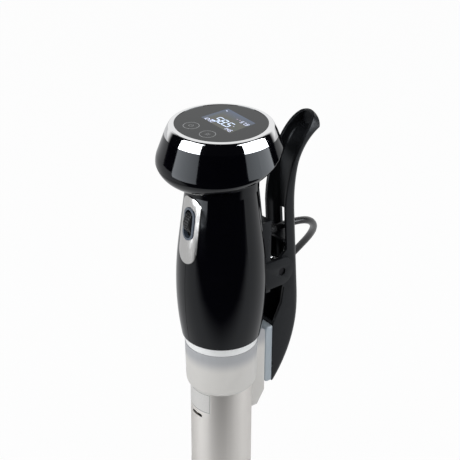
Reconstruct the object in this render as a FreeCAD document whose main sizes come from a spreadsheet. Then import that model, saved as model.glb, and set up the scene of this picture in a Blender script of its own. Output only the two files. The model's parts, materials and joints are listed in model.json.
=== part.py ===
import FreeCAD, Part
import math
import operator
import os

import Sketcher
from FreeCAD import Placement, Rotation, Vector

# Immersion circulator, clamped to a pot wall by a sprung lever.
# Frame: millimetres, +Z up along the tube's axis, origin at the centre of the foot's underside.
# -Y is the front, with the thumb wheel; +Y is the back, with the clamp and the mains lead.

SIZES = (
    # fits
    ("fit_gap", 0.1),
    ("run_gap", 0.3),
    ("pin_play", 0.05),
    # steel tube, its water inlets and the steam vent
    ("tube_radius", 27.0),
    ("tube_wall", 0.8),
    ("tube_low", 22.0),
    ("tube_high", 214.0),
    ("inlet_count", 12),
    ("inlet_width", 3.2),
    ("inlet_low", 46.0),
    ("inlet_high", 74.0),
    ("vent_width", 13.0),
    ("vent_height", 3.0),
    ("vent_middle", 130.0),
    # foot cap
    ("foot_edge", 1.5),
    ("foot_wall", 2.2),
    ("foot_floor", 2.4),
    ("foot_spigot", 10.0),
    ("outlet_width", 17.0),
    ("outlet_low", 5.5),
    ("outlet_high", 16.0),
    ("drain_radius", 2.2),
    ("drain_circle", 15.0),
    # shaft, impeller and their bearings
    ("shaft_radius", 2.5),
    ("shaft_low", 5.5),
    ("shaft_high", 226.5),
    ("impeller_low", 6.5),
    ("impeller_height", 10.0),
    ("impeller_radius", 17.5),
    ("impeller_disc", 1.4),
    ("impeller_hub", 5.0),
    ("blade_width", 1.6),
    ("blade_count", 6),
    ("spider_low", 33.0),
    ("spider_height", 4.0),
    ("spoke_width", 5.0),
    ("bush_radius", 5.0),
    ("bush_height", 8.0),
    ("bearing_radius", 6.5),
    ("bearing_height", 6.0),
    # bulkhead that closes the tube
    ("bulkhead_depth", 18.0),
    ("bulkhead_flange", 4.0),
    ("bulkhead_flange_radius", 29.4),
    ("seal_wire", 0.85),
    ("seal_depth", 9.5),
    ("lip_seal_height", 4.0),
    # heater, probe and level rods
    ("heater_radius", 3.1),
    ("heater_x", 14.0),
    ("heater_y", 9.0),
    ("heater_bottom", 52.0),
    ("heater_top", 158.0),
    ("heater_bend", 9.0),
    ("terminal_high", 225.0),
    ("probe_radius", 2.0),
    ("probe_y", 20.0),
    ("probe_low", 84.0),
    ("level_radius", 1.5),
    ("level_x", 5.0),
    ("level_y", -20.0),
    ("level_low", 108.0),
    # motor and its coupling
    ("motor_radius", 16.0),
    ("motor_height", 33.0),
    ("motor_boss_radius", 5.0),
    ("motor_boss_height", 2.5),
    ("motor_shaft_radius", 1.6),
    ("coupling_radius", 6.0),
    ("coupling_low", 219.5),
    ("coupling_high", 233.0),
    # chassis inside the body
    ("chassis_plate", 3.0),
    ("motor_plate_low", 236.0),
    ("motor_plate_x", 28.5),
    ("motor_plate_y", 12.0),
    ("chassis_radius", 32.6),
    ("chassis_hole", 22.2),
    ("pillar_radius", 3.2),
    ("pillar_x", 25.0),
    ("pillar_y", 7.0),
    ("post_inner", 6.5),
    ("post_outer", 13.5),
    ("post_front", 19.0),
    ("shelf_low", 298.0),
    ("shelf_radius", 31.8),
    ("board_thick", 1.6),
    ("board_half", 17.0),
    ("board_low", 242.0),
    ("board_high", 296.0),
    ("board_screw_low", 252.0),
    ("board_screw_high", 292.0),
    ("board_screw_length", 4.0),
    ("relay_in", 2.0),
    ("relay_out", 14.0),
    ("relay_deep", 12.0),
    ("relay_low", 277.0),
    ("relay_high", 287.0),
    ("capacitor_radius", 4.8),
    ("capacitor_x", 6.5),
    # body shells
    ("body_low", 206.0),
    ("body_high", 349.0),
    ("body_wall", 2.2),
    ("foot_radius", 33.8),
    ("belly_rise", 50.0),
    ("belly_radius", 38.2),
    ("shoulder_rise", 40.0),
    ("shoulder_radius", 35.7),
    ("body_edge", 1.2),
    ("seam_width", 0.36),
    ("seam_depth", 0.5),
    # trim ring and collar
    ("trim_low", 198.6),
    ("trim_wall", 4.8),
    ("trim_foot_wall", 4.3),
    ("collar_high", 198.3),
    ("collar_top_wall", 4.6),
    ("collar_waist", 162.0),
    ("collar_waist_wall", 3.7),
    ("collar_low", 156.0),
    ("collar_low_wall", 1.2),
    ("anvil_half", 14.0),
    ("anvil_back", 38.4),
    ("anvil_high", 200.7),
    ("anvil_low", 123.3),
    ("anvil_top_drop", 5.7),
    ("anvil_top_in", 4.9),
    ("anvil_foot_rise", 13.7),
    ("anvil_foot_in", 8.7),
    # head: its heights are rises above the top of the body
    ("head_rise", 51.0),
    ("ring_rise", 42.6),
    ("ring_inset", 15.3),
    ("ring_lip", 3.0),
    ("ring_lip_drop", 0.4),
    ("ring_lip_curve", 15.0),
    ("ring_roll", 1.7),
    ("ring_roll_drop", 1.5),
    ("ring_roll_curve", 3.2),
    ("ring_curve", 38.0),
    ("ring_ledge", 1.8),
    ("dome_rise", 18.5),
    ("dome_radius", 53.3),
    ("dome_curve", 19.9),
    ("dome_turn", 6.8),
    ("split_rise", 17.4),
    ("split_flat", 50.0),
    ("split_curve", 230.0),
    ("split_gap", 0.3),
    ("head_wall", 2.4),
    ("bowl_wall", 3.0),
    ("bowl_radius", 52.1),
    ("bowl_rise", 29.0),
    ("bowl_ahead", 2.85),
    ("bowl_tilt", 11.5),
    ("bowl_curve", 18.2),
    ("bowl_turn", 11.3),
    ("bowl_base_curve", 34.4),
    ("bowl_base_radius", 28.0),
    ("skirt_drop", 4.5),
    ("skirt_wall", 1.2),
    ("head_floor", 2.6),
    ("wire_hole", 12.0),
    ("spigot_height", 3.4),
    ("deck_thick", 2.2),
    ("deck_land", 4.0),
    # display and controls in the head
    ("panel_drop", 0.3),
    ("panel_thick", 2.4),
    ("gasket_thick", 0.5),
    ("control_board_inset", 12.3),
    ("display_half", 21.0),
    ("display_front", -8.0),
    ("display_back", 22.8),
    ("key_x", 10.8),
    ("key_y", -22.1),
    ("key_radius", 3.0),
    ("buzzer_radius", 6.0),
    ("buzzer_height", 5.0),
    # thumb wheel and its bezel
    ("bezel_half", 11.4),
    ("bezel_low", 285.0),
    ("bezel_high", 342.5),
    ("bezel_corner", 8.0),
    ("bezel_proud", 1.0),
    ("bezel_depth", 1.0),
    ("oval_half", 6.9),
    ("oval_low", 306.0),
    ("oval_high", 334.0),
    ("oval_wall", 1.9),
    ("oval_proud", 1.7),
    ("oval_depth", 2.0),
    ("wheel_radius", 11.0),
    ("wheel_half", 4.2),
    ("wheel_edge", 2.0),
    ("wheel_y", -26.0),
    ("wheel_z", 320.0),
    ("knurl_count", 28),
    ("knurl_radius", 0.7),
    ("axle_radius", 1.5),
    ("cheek_in", 5.2),
    ("cheek_wall", 1.6),
    ("cheek_reach", 2.8),
    ("cradle_wall", 2.0),
    ("sensor_thick", 2.4),
    # clamp bracket and hinge
    ("hinge_y", 52.4),
    ("hinge_z", 253.2),
    ("ear_radius", 13.0),
    ("ear_in", 14.3),
    ("ear_out", 17.6),
    ("base_half", 15.0),
    ("base_back", 41.6),
    ("base_low", 236.0),
    ("base_high", 305.0),
    ("spine_half", 12.0),
    ("spine_high", 341.0),
    ("spine_proud", 2.2),
    ("pin_radius", 3.7),
    ("pin_recess", 1.2),
    # lever: the back edge of its side flanges, from the bottom up to the tip
    ("lever_half", 14.0),
    ("lever_wall", 2.6),
    ("lever_crown", 4.1),
    ("lever_round", 7.0),
    ("lever_low", 141.2),
    ("back_low_y", 48.6),
    ("back_belly_y", 73.0),
    ("back_belly_z", 211.5),
    ("back_waist_y", 66.8),
    ("back_waist_z", 318.0),
    ("back_blend", 18.0),
    ("back_flare_y", 69.5),
    ("back_flare_z", 345.0),
    ("back_tip_y", 91.5),
    ("back_tip_z", 375.7),
    ("back_tip_curve", 46.6),
    ("tip_y", 95.0),
    ("tip_z", 383.0),
    ("tip_curve", 14.0),
    ("tip_oval", 30.0),
    # lever: the front edge of its side flanges, from the tip down
    ("front_tip_y", 91.5),
    ("front_tip_z", 385.6),
    ("front_flare_y", 64.6),
    ("front_flare_z", 348.5),
    ("front_flare_curve", 110.0),
    ("front_waist_y", 58.2),
    ("front_waist_z", 309.0),
    ("front_lug_y", 60.4),
    ("front_lug_z", 271.0),
    ("front_heel_y", 58.3),
    ("front_heel_z", 234.0),
    ("front_knee_y", 56.0),
    ("front_knee_z", 219.0),
    ("lug_radius", 8.4),
    ("plate_wall", 2.6),
    ("channel_low", 156.0),
    ("slot_half", 6.5),
    ("slot_low", 280.2),
    ("slot_high", 302.5),
    ("slot_corner", 3.0),
    ("rib_thick", 2.4),
    ("rib_front", 58.0),
    # jaw pad and spring
    ("pad_front", 38.7),
    ("pad_back", 46.6),
    ("pad_half", 13.4),
    ("pad_low", 141.5),
    ("pad_high", 199.0),
    ("pad_corner", 4.0),
    ("pad_edge", 1.6),
    ("peg_radius", 3.0),
    ("peg_length", 4.4),
    ("peg_inset", 14.0),
    ("spring_radius", 9.5),
    ("spring_wire", 0.95),
    ("spring_turns", 5),
    ("spring_pitch", 2.4),
    ("spring_leg", 20.0),
    # screws
    ("screw_radius", 1.5),
    ("screw_head", 2.7),
    ("screw_head_height", 1.8),
    ("bracket_screw_x", 10.0),
    ("bracket_screw_low", 241.0),
    ("bracket_screw_high", 299.5),
    ("bracket_screw_length", 15.0),
    ("neck_screw_y", 21.0),
    ("neck_screw_length", 8.0),
    ("plate_screw_length", 6.0),
    ("motor_screw_bite", 4.0),
    ("motor_shaft_depth", 12.0),
    ("deck_screw_inset", 15.3),
    # mains lead
    ("cord_radius", 3.25),
    ("gland_z", 287.0),
    ("gland_flange", 7.4),
    ("gland_low", 30.0),
    ("gland_seat", 33.0),
    ("gland_root", 6.0),
    ("gland_tip", 4.4),
    ("gland_end", 57.0),
    ("coil_x", 52.0),
    ("coil_y", 67.0),
    ("coil_radius", 36.0),
    ("coil_half", 9.75),
    ("coil_top_half", 6.5),
    ("coil_lift", 0.8),
    ("coil_shoulder", 6.5),
    ("coil_height", 12.2),
    ("tie_width", 12.0),
    ("plug_x", 96.5),
    ("plug_y", 4.0),
    ("plug_half_width", 18.5),
    ("plug_half_height", 13.0),
    ("plug_neck", 15.0),
    ("plug_length", 22.0),
    ("plug_pin_radius", 2.4),
    ("plug_pin_length", 19.0),
    ("plug_pin_spacing", 19.0),
)


OPERATIONS = {
    "+": operator.add,
    "-": operator.sub,
    "*": operator.mul,
    "/": operator.truediv,
}

AXES = {
    "X": Rotation(Vector(0, 1, 0), 90),
    "Y": Rotation(Vector(1, 0, 0), -90),
    "Z": Rotation(),
}


class Size:
    """A length worked out from the sheet: its value, and the expression that gives it."""

    def __init__(self, value, text):
        self.value = value
        self.text = text

    def __add__(self, other):
        return mix(self, "+", other)

    def __radd__(self, other):
        return mix(other, "+", self)

    def __sub__(self, other):
        return mix(self, "-", other)

    def __rsub__(self, other):
        return mix(other, "-", self)

    def __mul__(self, other):
        return mix(self, "*", other)

    def __rmul__(self, other):
        return mix(other, "*", self)

    def __truediv__(self, other):
        return mix(self, "/", other)

    def __neg__(self):
        return mix(0.0, "-", self)


class Sizes:
    """The sheet's cells by name, as d.tube_radius."""

    def __getattr__(self, name):
        return Size(sheet.get(name), "Dims." + name)


d = Sizes()
doc = FreeCAD.newDocument("circulator")
sheet = doc.addObject("Spreadsheet::Sheet", "Dims")
nodes = []


def as_size(number):
    if isinstance(number, Size):
        return number
    return Size(float(number), "(%r)" % float(number))


def mix(first, sign, second):
    first = as_size(first)
    second = as_size(second)
    value = OPERATIONS[sign](first.value, second.value)
    return Size(value, "(%s %s %s)" % (first.text, sign, second.text))


def square_root(size):
    return Size(math.sqrt(size.value), "sqrt(%s)" % size.text)


def flush_radius(run, rise):
    """Radius of an arc that starts along the run and has moved off it by the rise at its end."""
    return (run * run + rise * rise) / (2 * rise)


def fill_sheet():
    for row, (name, value) in enumerate(SIZES, 1):
        sheet.set("A%d" % row, name)
        sheet.set("B%d" % row, str(value))
        sheet.setAlias("B%d" % row, name)
    doc.recompute()


# ---------------------------------------------------------------- shapes bound to the sheet


def bind(feature, prop, size):
    size = as_size(size)
    setattr(feature, prop, size.value)
    feature.setExpression(prop, size.text)


def place(feature, x, y, z, rotation=None):
    spot = [as_size(x), as_size(y), as_size(z)]
    feature.Placement = Placement(Vector(*[s.value for s in spot]), rotation or Rotation())
    for letter, size in zip("xyz", spot):
        feature.setExpression(".Placement.Base." + letter, size.text)
    return feature


def block(name, x, y, z):
    """Box between two corners; x, y and z are each (low, high)."""
    box = doc.addObject("Part::Box", name)
    for prop, (low, high) in zip(("Length", "Width", "Height"), (x, y, z)):
        bind(box, prop, as_size(high) - low)
    return place(box, x[0], y[0], z[0])


def spot_on(axis, along, across):
    """Point at a height along an axis and two places across it, in X, Y, Z order."""
    places = list(across)
    places.insert("XYZ".index(axis), along)
    return places


def rod(name, axis, radius, span, across=(0.0, 0.0)):
    """Cylinder along X, Y or Z from span[0] to span[1]."""
    cylinder = doc.addObject("Part::Cylinder", name)
    bind(cylinder, "Radius", radius)
    bind(cylinder, "Height", as_size(span[1]) - span[0])
    return place(cylinder, *spot_on(axis, span[0], across), AXES[axis])


def taper(name, axis, radii, span, across=(0.0, 0.0)):
    cone = doc.addObject("Part::Cone", name)
    bind(cone, "Radius1", radii[0])
    bind(cone, "Radius2", radii[1])
    bind(cone, "Height", as_size(span[1]) - span[0])
    return place(cone, *spot_on(axis, span[0], across), AXES[axis])


def hoop(name, radius, wire, x, y, z):
    torus = doc.addObject("Part::Torus", name)
    bind(torus, "Radius1", radius)
    bind(torus, "Radius2", wire)
    return place(torus, x, y, z)


def fuse(name, *pieces):
    joined = doc.addObject("Part::MultiFuse", name)
    joined.Shapes = list(pieces)
    return joined


def cut(name, base, *tools):
    result = doc.addObject("Part::Cut", name)
    result.Base = base
    result.Tool = tools[0] if len(tools) == 1 else fuse(name + "_tools", *tools)
    return result


def overlap(name, *pieces):
    shared = doc.addObject("Part::MultiCommon", name)
    shared.Shapes = list(pieces)
    return shared


def group(name, *pieces):
    """Separate solids kept side by side in one node."""
    together = doc.addObject("Part::Compound", name)
    together.Links = list(pieces)
    return together


def sleeve(name, axis, outer, inner, span, across=(0.0, 0.0)):
    low, high = as_size(span[0]), as_size(span[1])
    body = rod(name + "_body", axis, outer, span, across)
    bore = rod(name + "_bore", axis, inner, (low - 1, high + 1), across)
    return cut(name, body, bore)


def bend(radius, side):
    """Marks the stretch between two outline points as an arc; side is +1 for a centre on the left."""
    return ("arc", as_size(radius), side)


def swell(x, y):
    """Marks the stretch between two outline points as a spline that is pulled to a third point."""
    return ("spline", as_size(x), as_size(y))


def curve(first, last, arc):
    """Sketch geometry from one point to the next, and which of its ends comes first."""
    start = Vector(first[0].value, first[1].value, 0)
    end = Vector(last[0].value, last[1].value, 0)
    if arc is None:
        return Part.LineSegment(start, end), 1, 2
    if arc[0] == "spline":
        spline = Part.BSplineCurve()
        pull = Vector(arc[1].value, arc[2].value, 0)
        spline.buildFromPolesMultsKnots([start, pull, end], [3, 3], [0, 1], False, 2)
        return spline, 1, 2
    radius, side = arc[1].value, arc[2]
    chord = end - start
    reach = math.sqrt(max(radius ** 2 - chord.Length ** 2 / 4, 0.0))
    left = Vector(-chord.y, chord.x, 0) / chord.Length
    centre = (start + end) / 2 + left * (reach * side)
    angles = [math.atan2(p.y - centre.y, p.x - centre.x) for p in (start, end)][::side]
    circle = Part.Circle(centre, Vector(0, 0, 1), radius)
    geometry = Part.ArcOfCircle(circle, angles[0], angles[1] + (angles[1] < angles[0]) * 2 * math.pi)
    return geometry, (1 if side > 0 else 2), (2 if side > 0 else 1)


def fix(sketch, size, kind, *target):
    """Sketch constraint bound to the sheet."""
    index = sketch.addConstraint(Sketcher.Constraint(kind, *target, size.value))
    sketch.setExpression("Constraints[%d]" % index, size.text)


def pin_point(sketch, edge, end, corner):
    for kind, size in zip(("DistanceX", "DistanceY"), corner):
        fix(sketch, size, kind, -1, 1, edge, end)


def draw(body, plane, outline, offset=0.0):
    """Closed sketch whose corners and radii are all bound to the sheet."""
    sketch = body.newObject("Sketcher::SketchObject", body.Name + "_outline")
    support = [f for f in body.Origin.OriginFeatures if f.Role == plane][0]
    sketch.AttachmentSupport = [(support, "")]
    sketch.MapMode = "FlatFace"
    offset = as_size(offset)
    sketch.AttachmentOffset = Placement(Vector(0, 0, offset.value), Rotation())
    sketch.setExpression(".AttachmentOffset.Base.z", offset.text)
    corners = []
    arcs = []
    for item in outline:
        if item[0] in ("arc", "spline"):
            arcs[-1] = item
        else:
            corners.append((as_size(item[0]), as_size(item[1])))
            arcs.append(None)
    ends = []
    for index, corner in enumerate(corners):
        geometry, first, last = curve(corner, corners[(index + 1) % len(corners)], arcs[index])
        ends.append((sketch.addGeometry(geometry, False), first, last))
    for index, (edge, first, last) in enumerate(ends):
        following = ends[(index + 1) % len(ends)]
        sketch.addConstraint(Sketcher.Constraint("Coincident", edge, last, following[0], following[1]))
    for corner, arc, (edge, first, last) in zip(corners, arcs, ends):
        pin_point(sketch, edge, first, corner)
        if arc is not None and arc[0] == "arc":
            fix(sketch, arc[1], "Radius", edge)
        elif arc is not None:
            middle = Part.Circle(Vector(arc[1].value, arc[2].value, 0), Vector(0, 0, 1), 1.0)
            pole = sketch.addGeometry(middle, True)
            sketch.addConstraint(Sketcher.Constraint("Weight", pole, 1.0))
            kind = "InternalAlignment:Sketcher::BSplineControlPoint"
            sketch.addConstraint(Sketcher.Constraint(kind, pole, 3, edge, 1))
            pin_point(sketch, pole, 3, arc[1:])
    return sketch


def turned(name, outline):
    """Solid of revolution about Z, from an outline of (radius, height) points."""
    body = doc.addObject("PartDesign::Body", name)
    sketch = draw(body, "XZ_Plane", outline)
    feature = body.newObject("PartDesign::Revolution", name + "_turn")
    feature.Profile = sketch
    feature.ReferenceAxis = (sketch, ["V_Axis"])
    feature.Angle = 360.0
    return body


def prism(name, plane, outline, low, high):
    """Outline padded from low to high along X, Y or Z, whichever is square to its plane."""
    body = doc.addObject("PartDesign::Body", name)
    offset = -as_size(high) if plane == "XZ_Plane" else low
    sketch = draw(body, plane, outline, offset)
    feature = body.newObject("PartDesign::Pad", name + "_pad")
    feature.Profile = sketch
    bind(feature, "Length", as_size(high) - low)
    return body


def soften(body, radius, chosen):
    """Rounds the edges of a body that the test picks."""
    doc.recompute()
    names = ["Edge%d" % n for n, edge in enumerate(body.Shape.Edges, 1) if chosen(edge)]
    feature = body.newObject("PartDesign::Fillet", body.Name + "_fillet")
    feature.Base = (body.Tip if body.Tip != feature else feature.BaseFeature, names)
    bind(feature, "Radius", radius)
    return body


def around(name, make, count, start=0.0):
    """Copies of a piece made at the angle zero, each in its own wrap, turned about Z."""
    copies = []
    for index in range(count):
        piece = group("%s_%d" % (name, index), make("%s_blank_%d" % (name, index)))
        piece.Placement = Placement(Vector(), Rotation(Vector(0, 0, 1), start + 360.0 * index / count))
        copies.append(piece)
    return copies


def node(name, feature):
    feature.Label = name
    nodes.append(feature)
    return feature

# ---------------------------------------------------------------- outlines that pieces share


def neck_radius(height):
    """Outer radius of the body on the straight run above its shoulder."""
    run = d.shoulder_rise
    rise = d.belly_radius - d.shoulder_radius
    slope = 2 * run * rise / (run * run - rise * rise)
    return d.shoulder_radius - (height - d.body_low - d.belly_rise - run) * slope


def reach_to_pull(run, rise):
    """How far along the run the end tangents of a shallow bow meet."""
    return (run * run + rise * rise) / (2 * run)


def body_solid(name, grow=0.0, low=None, high=None, edge=None):
    """The grip's outer shape, moved out by grow: a belly between two bows, and a straight neck."""
    low = d.body_low if low is None else low
    high = d.body_high if high is None else high
    belly = d.belly_radius + grow
    belly_height = d.body_low + d.belly_rise
    foot = d.foot_radius + grow
    run = belly_height - low
    rise = d.belly_radius - d.foot_radius
    lower = reach_to_pull(run, rise)
    upper = reach_to_pull(d.shoulder_rise, d.belly_radius - d.shoulder_radius)
    start = [(foot, low)]
    if edge is not None:
        start = [(foot - edge, low), bend(edge, 1), (foot + edge * rise / (run - lower), low + edge)]
    return turned(name, [(0.0, low)] + start + [
        swell(belly, belly_height - lower),
        (belly, belly_height),
        swell(belly, belly_height + upper),
        (d.shoulder_radius + grow, belly_height + d.shoulder_rise),
        (neck_radius(high) + grow, high),
        (0.0, high),
    ])


def stadium(half, low, high, corner=None):
    """Upright slot with a round foot and a round or squarer head, as (across, height) points."""
    corner = half if corner is None else corner
    points = [
        (half, low + half),
        (half, high - corner),
        bend(corner, 1),
        (half - corner, high),
        (corner - half, high),
        bend(corner, 1),
        (-half, high - corner),
        (-half, low + half),
        bend(half, 1),
        (0.0, low),
        bend(half, 1),
    ]
    if corner is half:
        points[3:5] = [(0.0, high)]
    return points


def back_tip_angle(flare_lean):
    """How far the lever's back has leaned out where its flare ends."""
    chord = math.hypot(
        d.back_tip_y.value - d.back_flare_y.value, d.back_tip_z.value - d.back_flare_z.value)
    return math.asin(flare_lean) + 2 * math.asin(chord / (2 * d.back_tip_curve.value))


def lever_back(out, low):
    """Back edge of the lever from the height low to the tip, moved out along its own normal."""
    belly = flush_radius(d.back_belly_z - d.lever_low, d.back_belly_y - d.back_low_y)
    low_radius = belly - d.lever_crown + out
    low_rise = d.back_belly_z - low
    start_y = (d.back_belly_y + d.lever_crown - belly
               + square_root(low_radius * low_radius - low_rise * low_rise))
    run = d.back_blend
    slope_run = d.back_waist_z - d.back_belly_z - run
    rise = (d.back_belly_y - d.back_waist_y) * run / (2 * slope_run)
    blend = flush_radius(run, rise)
    flare = flush_radius(d.back_flare_z - d.back_waist_z, d.back_flare_y - d.back_waist_y)
    flare_lean = (d.back_flare_z - d.back_waist_z).value / flare.value
    tip_angle = back_tip_angle(flare_lean)
    return [
        (start_y, low),
        bend(low_radius, 1),
        (d.back_belly_y + out, d.back_belly_z),
        bend(blend, 1),
        (d.back_belly_y - rise + out, d.back_belly_z + run),
        (d.back_waist_y + rise + out, d.back_waist_z - run),
        bend(blend, -1),
        (d.back_waist_y + out, d.back_waist_z),
        bend(flare - out, -1),
        (d.back_flare_y + out * math.sqrt(1 - flare_lean ** 2), d.back_flare_z - out * flare_lean),
        bend(d.back_tip_curve - out, -1),
        (d.back_tip_y + out * math.cos(tip_angle), d.back_tip_z - out * math.sin(tip_angle)),
    ]


# ---------------------------------------------------------------- tube, foot, pump


def outer_tube():
    """Drawn steel tube with a ring of upright water inlets and one level slot at the front."""
    inner = d.tube_radius - d.tube_wall
    tube = turned("tube", [
        (inner, d.tube_low),
        (d.tube_radius, d.tube_low),
        (d.tube_radius, d.tube_high),
        (inner, d.tube_high),
    ])
    doc.recompute()
    half = d.inlet_width / 2
    slot = draw(tube, "XZ_Plane", stadium(half, d.inlet_low, d.inlet_high))
    inlet = tube.newObject("PartDesign::Pocket", "inlet")
    inlet.Profile = slot
    bind(inlet, "Length", d.tube_radius + 1)
    ring = tube.newObject("PartDesign::PolarPattern", "inlet_ring")
    ring.Originals = [inlet]
    ring.Axis = ([f for f in tube.Origin.OriginFeatures if f.Role == "Z_Axis"][0], [""])
    ring.Angle = 360.0
    bind(ring, "Occurrences", d.inlet_count)
    tube.Tip = ring
    reach = d.vent_width / 2 - d.vent_height / 2
    low = d.vent_middle - d.vent_height / 2
    high = d.vent_middle + d.vent_height / 2
    vent = prism("vent", "XZ_Plane", [
        (-reach, low),
        (reach, low),
        bend(d.vent_height / 2, 1),
        (reach + d.vent_height / 2, d.vent_middle),
        bend(d.vent_height / 2, 1),
        (reach, high),
        (-reach, high),
        bend(d.vent_height / 2, 1),
        (-reach - d.vent_height / 2, d.vent_middle),
        bend(d.vent_height / 2, 1),
    ], -d.tube_radius - 1, 0.0)
    node("outer_tube", cut("tube_cut", tube, vent))


def foot_cap():
    """Moulded cap that closes the tube's lower end: drains below, one wide outlet each side."""
    spigot = d.tube_radius - d.tube_wall - d.fit_gap
    cap = turned("cap", [
        (0.0, 0.0),
        (d.tube_radius - d.foot_edge, 0.0),
        (d.tube_radius, d.foot_edge),
        (d.tube_radius, d.tube_low),
        (spigot, d.tube_low),
        (spigot, d.tube_low + d.foot_spigot),
        (spigot - d.foot_wall, d.tube_low + d.foot_spigot),
        (spigot - d.foot_wall, d.foot_floor),
        (0.0, d.foot_floor),
    ])
    outlets = around("outlet", lambda name: block(
        name, (0.0, d.tube_radius + 1), (-d.outlet_width / 2, d.outlet_width / 2),
        (d.outlet_low, d.outlet_high)), 3, 30.0)
    drains = around("drain", lambda name: rod(
        name, "Z", d.drain_radius, (-1.0, d.foot_floor + 1), (d.drain_circle, 0.0)), 6)
    node("foot_cap", cut("cap_cut", cap, *outlets, *drains))


def pump():
    """Shaft, impeller, and the spider and bush that steady the shaft above the impeller."""
    node("drive_shaft", rod("shaft", "Z", d.shaft_radius, (d.shaft_low, d.shaft_high)))
    high = d.impeller_low + d.impeller_height
    disc_high = d.impeller_low + d.impeller_disc
    hub = rod("hub", "Z", d.impeller_hub, (d.impeller_low, high))
    disc = rod("disc", "Z", d.impeller_radius, (d.impeller_low, disc_high))
    blades = around("blade", lambda name: block(
        name, (d.impeller_hub - 1, d.impeller_radius - 0.5),
        (-d.blade_width / 2, d.blade_width / 2), (disc_high - 0.2, high)), int(d.blade_count.value))
    bore = rod("hub_bore", "Z", d.shaft_radius + d.pin_play, (d.impeller_low - 1, high + 1))
    node("impeller", cut("impeller_cut", fuse("impeller_raw", hub, disc, *blades), bore))
    rim = d.tube_radius - d.tube_wall - d.fit_gap
    spider_high = d.spider_low + d.spider_height
    band = sleeve("spider_rim", "Z", rim, rim - d.foot_wall, (d.spider_low, spider_high))
    spokes = around("spoke", lambda name: block(
        name, (0.0, rim - 1), (-d.spoke_width / 2, d.spoke_width / 2),
        (d.spider_low, spider_high)), 3)
    seat = rod("bush_seat", "Z", d.bush_radius + d.foot_wall, (d.spider_low, spider_high))
    hole = rod("bush_hole", "Z", d.bush_radius + d.pin_play, (d.spider_low - 1, spider_high + 1))
    node("spider", cut("spider_cut", fuse("spider_raw", band, seat, *spokes), hole))
    middle = d.spider_low + d.spider_height / 2
    node("spider_bush", sleeve(
        "bush", "Z", d.bush_radius, d.shaft_radius + d.pin_play,
        (middle - d.bush_height / 2, middle + d.bush_height / 2)))


def bulkhead():
    """Plug that closes the tube's top: it carries the shaft bearing, the seals and the heater."""
    plug = d.tube_radius - d.tube_wall - d.fit_gap
    high = d.tube_high + d.bulkhead_flange
    low = d.tube_high - d.bulkhead_depth
    seal_height = d.tube_high - d.seal_depth
    bearing_low = d.tube_high - d.bearing_height
    body = turned("bulkhead_raw", [
        (d.bearing_radius + d.pin_play, low),
        (plug, low),
        (plug, seal_height - d.seal_wire),
        (plug - 2 * d.seal_wire, seal_height - d.seal_wire),
        (plug - 2 * d.seal_wire, seal_height + d.seal_wire),
        (plug, seal_height + d.seal_wire),
        (plug, d.tube_high),
        (d.bulkhead_flange_radius, d.tube_high),
        (d.bulkhead_flange_radius, high),
        (d.bearing_radius + d.pin_play, high),
    ])
    span = (low - 1, high + 1)
    holes = [
        rod("leg_hole_a", "Z", d.heater_radius + d.fit_gap, span, (-d.heater_x, d.heater_y)),
        rod("leg_hole_b", "Z", d.heater_radius + d.fit_gap, span, (-d.heater_x, -d.heater_y)),
        rod("probe_hole", "Z", d.probe_radius + d.fit_gap, span, (0.0, d.probe_y)),
        rod("level_hole_a", "Z", d.level_radius + d.fit_gap, span, (-d.level_x, d.level_y)),
        rod("level_hole_b", "Z", d.level_radius + d.fit_gap, span, (d.level_x, d.level_y)),
    ]
    node("bulkhead", cut("bulkhead_cut", body, *holes))
    node("bulkhead_seal", hoop(
        "seal", plug - d.seal_wire + d.fit_gap / 2, d.seal_wire - d.fit_gap / 4, 0.0, 0.0, seal_height))
    node("shaft_bearing", sleeve(
        "bearing", "Z", d.bearing_radius, d.shaft_radius + d.pin_play, (bearing_low, d.tube_high)))
    node("shaft_seal", sleeve(
        "lip_seal", "Z", d.bearing_radius, d.shaft_radius + d.pin_play,
        (bearing_low - d.lip_seal_height, bearing_low)))


def bent_path(points, radii):
    """Straight runs joined by tangent arcs, one radius for each inner point."""
    points = [Vector(*p) for p in points]
    edges = []
    start = points[0]
    for before, corner, after, radius in zip(points, points[1:], points[2:], radii):
        back = (before - corner).normalize()
        ahead = (after - corner).normalize()
        half_turn = (math.pi - back.getAngle(ahead)) / 2
        setback = radius * math.tan(half_turn)
        middle = corner + (back + ahead).normalize() * (radius / math.cos(half_turn) - radius)
        first = corner + back * setback
        last = corner + ahead * setback
        if (first - start).Length > 1e-6:
            edges.append(Part.LineSegment(start, first).toShape())
        edges.append(Part.Arc(first, middle, last).toShape())
        start = last
    edges.append(Part.LineSegment(start, points[-1]).toShape())
    return Part.Wire(edges)


def bent_tube(name, points, radii, radius):
    """Round bar along a bent path."""
    path = bent_path(points, radii)
    start = Vector(*points[0])
    section = Part.Wire(Part.makeCircle(radius, start, Vector(*points[1]) - start))
    bar = doc.addObject("Part::Feature", name)
    bar.Shape = path.makePipeShell([section], True, False)
    ideal = math.pi * radius ** 2 * path.Length
    print("%s: length %.1f, volume %.4f of its section times length" % (
        name, path.Length, bar.Shape.Volume / ideal))
    return bar


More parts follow.
